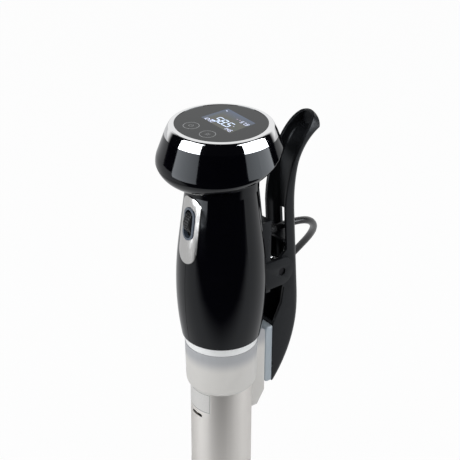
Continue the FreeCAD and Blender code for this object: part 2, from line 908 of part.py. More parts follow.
def heater():
    """Sheathed element in two hairpins round the shaft, with both ends up through the bulkhead."""
    x, y = d.heater_x.value, d.heater_y.value
    low, high, top = d.heater_bottom.value, d.heater_top.value, d.terminal_high.value
    route = [
        (-x, y, top), (-x, y, low), (x, y, low), (x, y, high),
        (x, -y, high), (x, -y, low), (-x, -y, low), (-x, -y, top),
    ]
    radii = [d.heater_bend.value] * 2 + [y * 0.98] * 2 + [d.heater_bend.value] * 2
    node("heater_element", bent_tube("heater_bar", route, radii, d.heater_radius.value))
    probe_tip = d.probe_low + d.probe_radius
    node("temperature_probe", fuse(
        "probe", rod("probe_rod", "Z", d.probe_radius, (probe_tip, d.terminal_high), (0.0, d.probe_y)),
        taper("probe_tip", "Z", (d.probe_radius / 2, d.probe_radius), (d.probe_low, probe_tip),
              (0.0, d.probe_y))))
    node("level_rods", group("levels", *[
        rod("level_rod_%d" % side, "Z", d.level_radius, (d.level_low, d.terminal_high),
            (d.level_x * side, d.level_y)) for side in (-1, 1)]))


# ---------------------------------------------------------------- chassis, motor, boards


def screw(name, axis, head_at, length, across, sense):
    """Screw whose head sits on head_at and whose shank runs the other way."""
    shank_end = head_at - length * sense
    head_end = head_at + d.screw_head_height * sense
    span = (shank_end, head_at) if sense > 0 else (head_at, shank_end)
    head_span = (head_at, head_end) if sense > 0 else (head_end, head_at)
    return fuse(name, rod(name + "_shank", axis, d.screw_radius, span, across),
                rod(name + "_head", axis, d.screw_head, head_span, across))


def screw_hole(name, axis, span, across):
    return rod(name, axis, d.screw_radius + d.pin_play, span, across)


def chassis():
    """Frame inside the grip: a foot ring on the bulkhead, two back posts, pillars and a shelf."""
    low = d.tube_high + d.bulkhead_flange
    ring_high = low + d.chassis_plate
    ring = sleeve("chassis_ring", "Z", d.chassis_radius, d.chassis_hole, (low, ring_high))
    room = body_solid("room", -d.body_wall - d.run_gap)
    posts = [overlap("post_%d" % side, block(
        "post_block_%d" % side,
        (d.post_inner, d.post_outer) if side > 0 else (-d.post_outer, -d.post_inner),
        (d.post_front, d.belly_radius), (low, d.body_high)), room) for side in (1, -1)]
    pillars = [rod("pillar_%d" % n, "Z", d.pillar_radius, (low, d.motor_plate_low), place_at)
               for n, place_at in enumerate(pillar_places())]
    shelf_high = d.shelf_low + d.chassis_plate
    shelf = sleeve("shelf", "Z", d.shelf_radius, d.wire_hole / 2, (d.shelf_low, shelf_high))
    holes = [screw_hole("post_hole_%d_%d" % (x, n), "Y", (d.post_front, d.belly_radius),
                        (d.bracket_screw_x * x, height))
             for x in (1, -1) for n, height in enumerate((d.bracket_screw_low, d.bracket_screw_high))]
    holes += [screw_hole("board_hole_%d_%d" % (x, n), "Y",
                         (d.post_front - 1, d.post_front + d.board_screw_length), (d.bracket_screw_x * x, z))
              for x in (1, -1) for n, z in enumerate((d.board_screw_low, d.board_screw_high))]
    holes += [screw_hole("neck_hole_%d" % x, "Z", (d.body_high - d.neck_screw_length, d.body_high + 1),
                         (d.bracket_screw_x * x, d.neck_screw_y)) for x in (1, -1)]
    holes += [rod("gland_seat", "Y", d.gland_flange + d.run_gap, (d.gland_low - d.run_gap, d.belly_radius),
                  (0.0, d.gland_z))]
    holes += [screw_hole("pillar_hole_%d" % n, "Z",
                         (d.motor_plate_low - d.plate_screw_length, d.motor_plate_low + 1), at)
              for n, at in enumerate(pillar_places())]
    node("chassis", cut("chassis_cut", fuse("chassis_raw", ring, *posts, *pillars, shelf), *holes))


def pillar_places():
    return [(d.pillar_x * x, d.pillar_y * y) for x in (1, -1) for y in (1, -1)]


def motor():
    """Motor on its plate, with the coupling down to the pump shaft."""
    low = d.motor_plate_low
    plate_high = low + d.chassis_plate
    plate = block("plate", (-d.motor_plate_x, d.motor_plate_x), (-d.motor_plate_y, d.motor_plate_y),
                  (low, plate_high))
    openings = [rod("boss_opening", "Z", d.motor_boss_radius + d.fit_gap, (low - 1, plate_high + 1))]
    openings += [screw_hole("plate_hole_%d" % n, "Z", (low - 1, plate_high + 1), at)
                 for n, at in enumerate(pillar_places())]
    motor_spots = [(d.bracket_screw_x * x, 0.0) for x in (1, -1)]
    openings += [screw_hole("motor_plate_hole_%d" % n, "Z", (low - 1, plate_high + 1), at)
                 for n, at in enumerate(motor_spots)]
    node("motor_plate", cut("plate_cut", plate, *openings))
    motor_high = plate_high + d.motor_height
    can = fuse(
        "can", rod("can_body", "Z", d.motor_radius, (plate_high, motor_high)),
        rod("can_boss", "Z", d.motor_boss_radius, (plate_high - d.motor_boss_height, plate_high + 1)),
        rod("can_cap", "Z", d.motor_boss_radius, (motor_high - 1, motor_high + d.motor_boss_height)))
    bores = [rod("can_bore", "Z", d.motor_shaft_radius + d.pin_play,
                 (plate_high - d.motor_boss_height - 1, plate_high + d.motor_shaft_depth))]
    bores += [screw_hole("can_hole_%d" % n, "Z", (plate_high - 1, plate_high + d.motor_screw_bite), at)
              for n, at in enumerate(motor_spots)]
    node("motor", cut("motor_cut", can, *bores))
    node("motor_shaft", rod(
        "motor_stub", "Z", d.motor_shaft_radius,
        (d.shaft_high + d.run_gap, plate_high + d.motor_shaft_depth - d.run_gap)))
    coupling = rod("coupling_raw", "Z", d.coupling_radius, (d.coupling_low, d.coupling_high))
    lower = rod("coupling_low_bore", "Z", d.shaft_radius + d.pin_play,
                (d.coupling_low - 1, d.shaft_high + d.run_gap / 2))
    upper = rod("coupling_high_bore", "Z", d.motor_shaft_radius + d.pin_play,
                (d.shaft_high, d.coupling_high + 1))
    node("shaft_coupling", cut("coupling_cut", coupling, lower, upper))
    length = d.chassis_plate + d.motor_screw_bite - d.run_gap
    screws = [screw("motor_screw_%d" % n, "Z", low, length, at, -1) for n, at in enumerate(motor_spots)]
    length = d.chassis_plate + d.plate_screw_length - d.run_gap
    screws += [screw("plate_screw_%d" % n, "Z", plate_high, length, at, 1)
               for n, at in enumerate(pillar_places())]
    node("motor_screws", group("motor_screw_set", *screws))


def power_board():
    """Mains board on the posts' front faces, with its relay, capacitor and screws."""
    back = d.post_front
    front = back - d.board_thick
    board = block("board", (-d.board_half, d.board_half), (front, back), (d.board_low, d.board_high))
    spots = [(d.bracket_screw_x * x, z) for x in (1, -1) for z in (d.board_screw_low, d.board_screw_high)]
    holes = [screw_hole("board_clear_%d" % n, "Y", (front - 1, back + 1), at)
             for n, at in enumerate(spots)]
    node("power_board", cut("board_cut", board, *holes))
    node("relay", block("relay_case", (-d.relay_out, -d.relay_in), (front - d.relay_deep, front),
                        (d.relay_low, d.relay_high)))
    middle = (d.relay_low + d.relay_high) / 2
    node("capacitor", rod("capacitor_can", "Y", d.capacitor_radius, (front - d.relay_deep, front),
                          (d.capacitor_x, middle)))
    length = d.board_thick + d.board_screw_length - d.run_gap
    node("board_screws", group("board_screw_set", *[
        screw("board_screw_%d" % n, "Y", front, length, at, -1) for n, at in enumerate(spots)]))


# ---------------------------------------------------------------- grip


def wheel_well(name, gap, front):
    """Upright oval, square to the front, that the thumb wheel shows through."""
    outline = stadium(d.oval_half + gap, d.oval_low - gap, d.oval_high + gap)
    return prism(name, "XZ_Plane", outline, -d.belly_radius - front, -d.shelf_radius / 2)


def body_shells():
    """Left and right halves of the grip, with the bezel's recess, and a fine groove at the seam."""
    outer = body_solid("body_outer", edge=d.body_edge)
    cavity = body_solid("body_cavity", -d.body_wall, d.body_low + d.body_wall, d.body_high + 1)
    bore = rod("body_bore", "Z", d.tube_radius + d.fit_gap, (d.body_low - 1, d.body_low + d.body_wall + 1))
    recess = cut("bezel_recess", prism("bezel_space", "XZ_Plane", stadium(
        d.bezel_half + d.fit_gap, d.bezel_low - d.fit_gap, d.bezel_high + d.fit_gap, d.bezel_corner),
        -d.belly_radius - 1, 0.0), body_solid("recess_floor", -d.bezel_depth - d.fit_gap))
    well = wheel_well("body_well", d.fit_gap, 1.0)
    gland = rod("gland_way", "Y", d.gland_root + d.fit_gap, (0.0, d.belly_radius + 1), (0.0, d.gland_z))
    holes = [screw_hole("shell_hole_%d_%d" % (x, n), "Y", (d.post_front, d.belly_radius + 1),
                        (d.bracket_screw_x * x, height))
             for x in (1, -1) for n, height in enumerate((d.bracket_screw_low, d.bracket_screw_high))]
    groove = cut("seam_groove", overlap(
        "seam_slab", body_solid("seam_out", 1.0),
        block("seam_block", (-d.seam_width / 2, d.seam_width / 2),
              (-d.belly_radius - 2, d.belly_radius + 2),
              (d.body_low - 1, d.body_high))), body_solid("seam_in", -d.seam_depth))
    shell = cut("body_shell", outer, cavity, bore, recess, well, gland, groove, *holes)
    reach = d.belly_radius + 1
    for side, span in (("right", (0.0, reach)), ("left", (-reach, 0.0))):
        half = block("half_" + side, span, (-reach, reach), (d.body_low - 1, d.body_high + 1))
        node("body_shell_" + side, overlap("shell_half_" + side, shell, half))


def trim_and_collar():
    """Bright ring below the grip, and the frosted collar whose back is the clamp's fixed jaw."""
    bore = d.tube_radius + d.fit_gap
    node("trim_ring", turned("trim", [
        (bore, d.trim_low),
        (d.tube_radius + d.trim_foot_wall, d.trim_low),
        (d.tube_radius + d.trim_wall, d.body_low),
        (bore, d.body_low),
    ]))
    sleeve_body = turned("collar_sleeve", [
        (bore, d.collar_low),
        (d.tube_radius + d.collar_low_wall, d.collar_low),
        bend(flush_radius(d.collar_waist - d.collar_low, d.collar_waist_wall - d.collar_low_wall), 1),
        (d.tube_radius + d.collar_waist_wall, d.collar_waist),
        (d.tube_radius + d.collar_top_wall, d.collar_high),
        (bore, d.collar_high),
    ])
    back = d.anvil_back
    half = d.anvil_half
    side = prism("anvil_side", "YZ_Plane", [
        (0.0, d.anvil_low),
        (back - d.anvil_foot_in, d.anvil_low),
        (back, d.anvil_low + d.anvil_foot_rise),
        (back, d.anvil_high - d.anvil_top_drop),
        bend(d.anvil_top_drop, 1),
        (back - d.anvil_top_in, d.anvil_high),
        (0.0, d.anvil_high),
    ], -half, half)
    plan = prism("anvil_plan", "XY_Plane", [
        (-half, 0.0),
        (half, 0.0),
        (half, back - d.pad_edge),
        bend(d.pad_edge, 1),
        (half - d.pad_edge, back),
        (d.pad_edge - half, back),
        bend(d.pad_edge, 1),
        (-half, back - d.pad_edge),
    ], d.anvil_low, d.anvil_high)
    jaw = overlap("anvil", side, plan)
    room = rod("anvil_room", "Z", bore, (d.anvil_low - 1, d.anvil_high + 1))
    ring_room = rod("ring_room", "Z", d.tube_radius + d.trim_wall + d.run_gap, (d.collar_high, d.anvil_high + 1))
    node("clamp_collar", cut("collar_cut", fuse("collar_raw", sleeve_body, jaw), room, ring_room))


# ---------------------------------------------------------------- head


def slope_radius(height, grow=0.0):
    """Radius of the dome's straight slope, moved out by grow, at a height."""
    lean = square_root(d.dome_curve * d.dome_curve - d.dome_turn * d.dome_turn)
    centre = d.dome_radius - d.dome_curve
    run = height - d.body_high - d.dome_rise
    return centre + ((d.dome_curve + grow) * d.dome_curve - run * d.dome_turn) / lean


def dome(name, grow, high):
    """The head's outer shape, moved out by grow: a round belly that turns into a straight slope."""
    centre = d.dome_radius - d.dome_curve
    middle = d.body_high + d.dome_rise
    curve_radius = d.dome_curve + grow
    turn = d.dome_turn * curve_radius / d.dome_curve
    return turned(name, [
        (0.0, middle - curve_radius),
        (centre, middle - curve_radius),
        bend(curve_radius, 1),
        (centre + square_root(curve_radius * curve_radius - turn * turn), middle + turn),
        (slope_radius(high, grow), high),
        (0.0, high),
    ])


def bowl(name, grow):
    """The head's underside, moved out by grow: a round bowl that leans forward under the dome."""
    centre = d.bowl_radius - d.bowl_curve
    reach = square_root(d.bowl_curve * d.bowl_curve - d.bowl_turn * d.bowl_turn)
    share = (d.bowl_curve + grow) / d.bowl_curve
    extra = (d.bowl_base_curve - d.bowl_curve) / d.bowl_curve
    run = d.bowl_base_radius - centre + reach * extra
    base_curve = d.bowl_base_curve + grow
    base = d.bowl_turn * extra - square_root(base_curve * base_curve - run * run)
    solid = turned(name, [
        (0.0, base),
        (d.bowl_base_radius, base),
        bend(base_curve, 1),
        (centre + reach * share, -d.bowl_turn * share),
        bend(d.bowl_curve + grow, 1),
        (d.bowl_radius + grow, 0.0),
        (d.bowl_radius + grow, d.dome_radius),
        (0.0, d.dome_radius),
    ])
    lean = Rotation(Vector(1, 0, 0), d.bowl_tilt.value)
    return place(solid, 0.0, -d.bowl_ahead, d.body_high + d.bowl_rise, lean)


def split_block(name, shift, upper):
    """All of the head above or below the split, which is flat in front and curls up to the back."""
    flat = d.body_high + d.split_rise + shift
    reach = d.dome_radius + 1
    run = reach + d.split_flat
    back = flat + d.split_curve - square_root(d.split_curve * d.split_curve - run * run)
    end = d.body_high + d.head_rise if upper else d.body_high - d.skirt_drop - 1
    return prism(name, "YZ_Plane", [
        (-reach, flat),
        (-d.split_flat, flat),
        bend(d.split_curve, 1),
        (reach, back),
        (reach, end),
        (-reach, end),
    ], -reach, reach)


def head():
    """Base, shell and bright ring of the head, and the screws that hold its base to the chassis."""
    wall = d.head_wall
    ring_low = d.body_high + d.ring_rise
    deck_low = ring_low - d.deck_thick
    floor_low = d.body_high + d.run_gap
    floor_high = floor_low + d.head_floor
    skirt_low = d.body_high - d.skirt_drop
    inset = wall + d.fit_gap
    rim = overlap("base_rim", dome("base_dome", -d.fit_gap, deck_low),
                  split_block("base_split", -d.split_gap, False))
    spigot = overlap("spigot", dome("spigot_dome", -inset, deck_low - d.run_gap),
                     split_block("spigot_split", d.spigot_height, False))
    shape = overlap("base_shape", fuse("base_domes", rim, spigot), bowl("base_bowl", 0.0))
    neck = neck_radius(skirt_low) + d.run_gap
    tower = rod("base_tower", "Z", neck + d.skirt_wall, (skirt_low, d.body_high + d.split_rise - wall))
    hollow = overlap("base_hollow", bowl("hollow_bowl", -d.bowl_wall),
                     dome("hollow_dome", -inset - d.skirt_wall, deck_low))
    bore = rod("base_bore", "Z", neck, (skirt_low - 1, floor_low))
    well = rod("base_well", "Z", neck, (floor_high, deck_low))
    way = rod("base_way", "Z", d.wire_hole, (floor_low - 1, floor_high + 1))
    spots = [(d.bracket_screw_x * x, d.neck_screw_y) for x in (1, -1)]
    holes = [screw_hole("base_hole_%d" % n, "Z", (floor_low - 1, floor_high + 1), at)
             for n, at in enumerate(spots)]
    solid = fuse("base_raw", cut("base_walls", shape, hollow), tower)
    node("head_base", cut("base_cut", solid, bore, well, way, *holes))
    length = floor_high - d.body_high + d.neck_screw_length - d.run_gap
    node("neck_screws", group("neck_screw_set", *[
        screw("neck_screw_%d" % n, "Z", floor_high, length, at, 1) for n, at in enumerate(spots)]))
    places = around("deck_hole_set", lambda name: rod(
        name, "Z", d.screw_radius + d.pin_play, (deck_low - 1, ring_low - d.run_gap),
        (d.dome_radius - d.deck_screw_inset, 0.0)), 3, 90.0)
    shell = overlap("shell_shape", dome("shell_dome", 0.0, ring_low),
                    split_block("shell_split", 0.0, True))
    room = dome("shell_room", -wall, deck_low)
    inner = d.dome_radius - d.ring_inset
    opening = rod("deck_opening", "Z", inner - d.deck_land, (deck_low - 1, ring_low + 1))
    node("head_shell", cut("shell_cut", shell, room, opening, *places))
    high = d.body_high + d.head_rise
    ledge = high - d.panel_drop - d.panel_thick - d.gasket_thick
    node("chrome_ring", turned("bright_ring", [
        (inner - d.ring_ledge, ring_low),
        (slope_radius(ring_low), ring_low),
        bend(d.ring_curve, 1),
        (inner + d.ring_lip + d.ring_roll, high - d.ring_lip_drop - d.ring_roll_drop),
        bend(d.ring_roll_curve, 1),
        (inner + d.ring_lip, high - d.ring_lip_drop),
        bend(d.ring_lip_curve, 1),
        (inner, high),
        (inner, ledge),
        (inner - d.ring_ledge, ledge),
    ]))


def controls():
    """Touch panel and gasket, display, control board with its touch springs, buzzer and screws."""
    panel_high = d.body_high + d.head_rise - d.panel_drop
    panel_low = panel_high - d.panel_thick
    inner = d.dome_radius - d.ring_inset
    node("display_panel", rod("panel", "Z", inner - d.fit_gap, (panel_low, panel_high)))
    node("panel_gasket", sleeve("gasket", "Z", inner - 2 * d.fit_gap, inner - d.ring_ledge + d.fit_gap,
                                (panel_low - d.gasket_thick, panel_low)))
    deck_low = d.body_high + d.ring_rise - d.deck_thick
    board_low = deck_low - d.board_thick
    board = rod("control_raw", "Z", d.dome_radius - d.control_board_inset, (board_low, deck_low))
    holes = around("control_hole", lambda name: rod(
        name, "Z", d.screw_radius + d.pin_play, (board_low - 1, deck_low + 1),
        (d.dome_radius - d.deck_screw_inset, 0.0)), 3, 90.0)
    node("control_board", cut("control_cut", board, *holes))
    node("display_module", block(
        "display", (-d.display_half, d.display_half), (d.display_front, d.display_back),
        (deck_low, panel_low - d.fit_gap)))
    node("touch_springs", group("touch_set", *[
        rod("touch_spring_%d" % side, "Z", d.key_radius, (deck_low, panel_low), (d.key_x * side, d.key_y))
        for side in (-1, 1)]))
    node("buzzer", rod("buzzer_can", "Z", d.buzzer_radius, (board_low - d.buzzer_height, board_low),
                       (-d.post_front, 0.0)))
    length = d.board_thick + d.deck_thick - 2 * d.run_gap
    screws = around("control_screw", lambda name: screw(
        name, "Z", board_low, length, (d.dome_radius - d.deck_screw_inset, 0.0), -1), 3, 90.0)
    node("control_screws", group("control_screw_set", *screws))


# ---------------------------------------------------------------- thumb wheel


def bezel_and_trim():
    """Bright plate let into the grip's front, and the grey collar round the wheel's opening."""
    skin = cut("bezel_sheet", body_solid("bezel_face", d.bezel_proud),
                body_solid("bezel_back", -d.bezel_depth))
    outline = stadium(d.bezel_half, d.bezel_low, d.bezel_high, d.bezel_corner)
    plate = overlap("bezel_plate", skin, prism(
        "bezel_blank", "XZ_Plane", outline, -d.belly_radius - d.oval_proud, -d.shelf_radius / 2))
    node("wheel_bezel", cut("bezel_cut", plate, wheel_well("bezel_well", d.fit_gap, 2.0)))
    band = cut("oval_sheet", body_solid("oval_face", d.oval_proud), body_solid("oval_back", -d.oval_depth))
    inner = d.oval_half - d.oval_wall
    opening = prism("oval_opening", "XZ_Plane", stadium(
        inner, d.oval_low + d.oval_wall, d.oval_high - d.oval_wall),
        -d.belly_radius - d.oval_proud, 0.0)
    ring = overlap("oval_ring", band, wheel_well("oval_blank", 0.0, d.oval_proud))
    node("wheel_trim", cut("oval_cut", ring, opening))


def thumb_wheel():
    """Knurled wheel on its axle, the cradle that carries it, and the sensor behind it."""
    wheel = doc.addObject("PartDesign::Body", "wheel")
    quarter = [(d.wheel_radius, 0.0), (0.0, d.wheel_radius), (-d.wheel_radius, 0.0), (0.0, -d.wheel_radius)]
    outline = []
    for point in quarter:
        outline += [point, bend(d.wheel_radius, 1)]
    disc = wheel.newObject("PartDesign::Pad", "wheel_pad")
    disc.Profile = draw(wheel, "YZ_Plane", outline, -d.wheel_half)
    bind(disc, "Length", 2 * d.wheel_half)
    soften(wheel, d.wheel_edge, lambda edge: edge.BoundBox.YLength > 1.0 and edge.BoundBox.XLength < 0.01)
    knurl = wheel.newObject("PartDesign::Pocket", "knurl")
    cutter = []
    for point in [(d.wheel_radius, -d.knurl_radius), (d.wheel_radius + d.knurl_radius, 0.0),
                  (d.wheel_radius, d.knurl_radius), (d.wheel_radius - d.knurl_radius, 0.0)]:
        cutter += [point, bend(d.knurl_radius, 1)]
    knurl.Profile = draw(wheel, "YZ_Plane", cutter, d.wheel_half + 1)
    bind(knurl, "Length", 2 * d.wheel_half + 2)
    ring = wheel.newObject("PartDesign::PolarPattern", "knurl_ring")
    ring.Originals = [knurl]
    ring.Axis = ([f for f in wheel.Origin.OriginFeatures if f.Role == "X_Axis"][0], [""])
    ring.Angle = 360.0
    bind(ring, "Occurrences", d.knurl_count)
    wheel.Tip = ring
    place(wheel, 0.0, d.wheel_y, d.wheel_z)
    at = (d.wheel_y, d.wheel_z)
    bore = rod("wheel_bore", "X", d.axle_radius + d.pin_play, (-d.wheel_half - 1, d.wheel_half + 1), at)
    node("jog_wheel", cut("wheel_cut", wheel, bore))
    cheek_out = d.cheek_in + d.cheek_wall
    node("wheel_axle", rod("axle", "X", d.axle_radius, (-cheek_out, cheek_out), at))
    low = d.shelf_low + d.chassis_plate
    front = d.wheel_y - d.cheek_reach
    back = d.wheel_y + d.wheel_radius + d.sensor_thick + 1.2
    top = d.wheel_z + d.cheek_reach + 1
    parts = [
        block("cradle_floor", (-cheek_out, cheek_out), (front, back + d.cradle_wall),
              (low, low + d.cradle_wall)),
        block("cradle_back", (-d.cheek_in, d.cheek_in), (back, back + d.cradle_wall), (low, top)),
    ]
    parts += [block("cheek_%d" % n, span, (front, d.wheel_y + d.cheek_reach), (low, top))
              for n, span in enumerate(((d.cheek_in, cheek_out), (-cheek_out, -d.cheek_in)))]
    hole = rod("cheek_hole", "X", d.axle_radius + d.pin_play, (-cheek_out - 1, cheek_out + 1), at)
    node("wheel_cradle", cut("cradle_cut", fuse("cradle_raw", *parts), hole))
    node("wheel_sensor", block("sensor", (-d.wheel_half, d.wheel_half), (back - d.sensor_thick, back),
                               (d.wheel_z - d.wheel_half, d.wheel_z + d.wheel_half)))


# ---------------------------------------------------------------- clamp


def clamp_bracket():
    """Saddle screwed to the grip's back, with two ears for the hinge pin and a spine up the neck."""
    block_part = block("saddle", (-d.base_half, d.base_half), (0.0, d.base_back), (d.base_low, d.base_high))
    spine = overlap("spine", block("spine_strip", (-d.spine_half, d.spine_half), (0.0, d.belly_radius),
                                   (d.base_low, d.spine_high)), body_solid("spine_face", d.spine_proud))
    ears = []
    for n, span in enumerate(((d.ear_in, d.ear_out), (-d.ear_out, -d.ear_in))):
        ears.append(prism("ear_%d" % n, "YZ_Plane", [
            (d.base_back - d.ear_radius, d.hinge_z - d.ear_radius),
            (d.hinge_y, d.hinge_z - d.ear_radius),
            bend(d.ear_radius, 1),
            (d.hinge_y + d.ear_radius, d.hinge_z),
            bend(d.ear_radius, 1),
            (d.hinge_y, d.hinge_z + d.ear_radius),
            (d.base_back - d.ear_radius, d.hinge_z + d.ear_radius),
        ], *span))
    raw = fuse("bracket_raw", block_part, spine, *ears)
    seat = body_solid("bracket_seat", d.fit_gap)
    pin = rod("ear_hole", "X", d.pin_radius + d.pin_play, (-d.ear_out - 1, d.ear_out + 1),
              (d.hinge_y, d.hinge_z))
    way = rod("bracket_way", "Y", d.gland_root + d.fit_gap, (0.0, d.base_back + 1), (0.0, d.gland_z))
    spots = bracket_screw_places()
    counter = d.base_back - d.screw_head_height
    holes = [screw_hole("bracket_hole_%d" % n, "Y", (0.0, d.base_back + 1), at)
             for n, at in enumerate(spots)]
    holes += [rod("counterbore_%d" % n, "Y", d.screw_head + d.fit_gap, (counter, d.base_back + 1), at)
              for n, at in enumerate(spots)]
    node("clamp_bracket", cut("bracket_cut", raw, seat, pin, way, *holes))
    node("bracket_screws", group("bracket_screw_set", *[
        screw("bracket_screw_%d" % n, "Y", counter, d.bracket_screw_length, at, 1)
        for n, at in enumerate(spots)]))
    end = d.ear_out - d.pin_recess
    node("hinge_pin", rod("pin", "X", d.pin_radius, (-end, end), (d.hinge_y, d.hinge_z)))


def bracket_screw_places():
    return [(d.bracket_screw_x * x, z) for x in (1, -1)
            for z in (d.bracket_screw_low, d.bracket_screw_high)]


def clamp_lever():
    """Channel-section handle: pressed at the top, it turns on the pin and lifts the jaw pad."""
    outer = lever_back(d.lever_crown, d.lever_low)
    lug_top = d.lug_radius * math.sin(math.radians(60))
    front = [
        bend(d.tip_curve, 1),
        (d.tip_y, d.tip_z + d.lever_crown),
        (d.front_tip_y, d.front_tip_z),
        bend(d.front_flare_curve, 1),
        (d.front_flare_y, d.front_flare_z),
        bend(flush_radius(d.front_flare_z - d.front_waist_z, d.front_flare_y - d.front_waist_y), 1),
        (d.front_waist_y, d.front_waist_z),
        (d.front_lug_y, d.front_lug_z),
        (d.hinge_y - d.lug_radius / 2, d.hinge_z + lug_top),
        bend(d.lug_radius, 1),
        (d.hinge_y - d.lug_radius / 2, d.hinge_z - lug_top),
        (d.front_heel_y, d.front_heel_z),
        (d.front_knee_y, d.front_knee_z),
        (d.pad_back, d.pad_high + 1),
        (d.pad_back, d.lever_low),
    ]
    side = prism("lever_side", "YZ_Plane", outer + front, -d.lever_half, d.lever_half)
    side = soften(side, d.lever_round, back_edge)
    inner = lever_back(d.lever_crown - d.lever_wall, d.channel_low)
    inside = d.pad_back + d.plate_wall
    channel_half = d.lever_half - d.lever_wall
    channel = prism("channel", "YZ_Plane", inner + [
        (d.tip_y - d.lever_wall, d.tip_z + d.tip_curve),
        (0.0, d.tip_z + d.tip_curve),
        (0.0, d.pad_high + d.plate_wall),
        (inside, d.pad_high + d.plate_wall),
        (inside, d.channel_low),
    ], -channel_half, channel_half)
    channel = soften(channel, d.lever_round - d.lever_wall, back_edge)
    slot = soften(block_body("cord_slot", (-d.slot_half, d.slot_half), (d.front_waist_y, d.tip_y),
                             (d.slot_low, d.slot_high)), d.slot_corner, lambda edge: (
                                 edge.BoundBox.YLength > 1.0))
    rib_high = d.slot_low - d.pin_play
    rib = block("rib", (-channel_half - 0.5, channel_half + 0.5),
                (d.rib_front, d.back_waist_y + d.lever_crown), (rib_high - d.rib_thick, rib_high))
    bore = rod("lug_bore", "X", d.pin_radius + d.pin_play, (-d.lever_half - 1, d.lever_half + 1),
               (d.hinge_y, d.hinge_z))
    peg_end = d.pad_back + d.peg_length + d.fit_gap
    pegs = [rod("peg_hole_%d" % n, "Y", d.peg_radius + d.fit_gap, (d.pad_front, peg_end), at)
            for n, at in enumerate(peg_places())]
    frame = lever_face("tip_frame", 0.0)
    inner_frame = lever_face("channel_frame", d.lever_wall)
    channel = overlap("channel_rounded", channel, inner_frame)
    hollow = cut("lever_hollow", side, channel)
    lever = cut("lever_cut", fuse("lever_ribbed", hollow, rib), slot, bore, *pegs)
    node("clamp_lever", overlap("lever_rounded", lever, frame))


def lever_face(name, wall):
    """The lever seen square on where it leans back, in by a wall: straight sides and an oval tip."""
    half = d.lever_half - wall
    back = d.front_tip_y - d.front_flare_y
    rise = d.front_tip_z - d.front_flare_z
    lean = math.atan2(back.value, rise.value)
    run = (d.tip_y - d.front_flare_y) * math.sin(lean)
    high = run + (d.tip_z + d.lever_crown - d.front_flare_z) * math.cos(lean) - wall
    shoulder = high - d.tip_oval
    low = d.lever_low - d.front_flare_z - d.tip_y
    face = prism(name, "XZ_Plane", [
        (-half, low),
        (half, low),
        (half, shoulder),
        swell(half, high),
        (0.0, high),
        swell(-half, high),
        (-half, shoulder),
    ], -d.tip_y, d.tip_y * 2)
    return place(face, 0.0, d.front_flare_y, d.front_flare_z, Rotation(Vector(1, 0, 0), -math.degrees(lean)))


def back_edge(edge):
    """True for the lengthwise edges along the lever's back."""
    box = edge.BoundBox
    low_enough = box.ZMin < d.back_flare_z.value + 1
    return box.XLength < 0.01 and box.ZLength > 4.0 and box.YMax > d.back_waist_y.value and low_enough


def block_body(name, x, y, z):
    return prism(name, "XY_Plane", [(x[0], y[0]), (x[1], y[0]), (x[1], y[1]), (x[0], y[1])], *z)


def peg_places():
    return [(0.0, d.pad_low + d.peg_inset), (0.0, d.pad_high - d.peg_inset)]


def jaw_pad():
    """Soft pad on the lever's foot, held by two pegs, that presses the pot wall to the collar."""
    corner = d.pad_corner
    pad = prism("pad", "YZ_Plane", [
        (d.pad_back, d.pad_low),
        (d.pad_back, d.pad_high),
        (d.pad_front + corner, d.pad_high),
        bend(corner, 1),
        (d.pad_front, d.pad_high - corner),
        (d.pad_front, d.pad_low + corner),
        bend(corner, 1),
        (d.pad_front + corner, d.pad_low),
    ], -d.pad_half, d.pad_half)
    pad = soften(pad, d.pad_edge, lambda edge: (
        edge.BoundBox.XLength < 0.01 and edge.BoundBox.YMin < d.pad_back.value - 0.1))
    pegs = [rod("peg_%d" % n, "Y", d.peg_radius, (d.pad_back - 1, d.pad_back + d.peg_length), at)
            for n, at in enumerate(peg_places())]
    node("jaw_pad", fuse("pad_raw", pad, *pegs))


def torsion_spring():
    """Coil round the hinge pin: one leg on the saddle, the other behind the handle."""
    radius, pitch = d.spring_radius.value, d.spring_pitch.value
    centre_y, centre_z = d.hinge_y.value, d.hinge_z.value
    steps = 12
    count = int(d.spring_turns.value) * steps + steps // 2
    start_x = -pitch * count / steps / 2
    leg = d.spring_leg.value
    route = [(start_x, centre_y - radius, centre_z + leg)]
    for step in range(count + 1):
        angle = math.pi + 2 * math.pi * step / steps
        route.append((start_x + pitch * step / steps, centre_y + radius * math.cos(angle),
                      centre_z + radius * math.sin(angle)))
    route.append((-start_x, centre_y + radius, centre_z + leg / 2))
    reach = d.back_waist_y.value + d.lever_crown.value - d.lever_wall.value - d.spring_wire.value
    route.append((-start_x, reach + 0.2, centre_z + leg))
    radii = []
    for before, corner, after in zip(route, route[1:], route[2:]):
        radii.append(natural_radius(before, corner, after))
    node("torsion_spring", bent_tube("spring_wire_bar", route, radii, d.spring_wire.value))


def natural_radius(before, corner, after):
    """Largest arc at a corner that leaves a tenth of the shorter run straight."""
    back = Vector(*before) - Vector(*corner)
    ahead = Vector(*after) - Vector(*corner)
    half_turn = (math.pi - back.getAngle(ahead)) / 2
    return 0.45 * min(back.Length, ahead.Length) / math.tan(half_turn)


# ---------------------------------------------------------------- mains lead


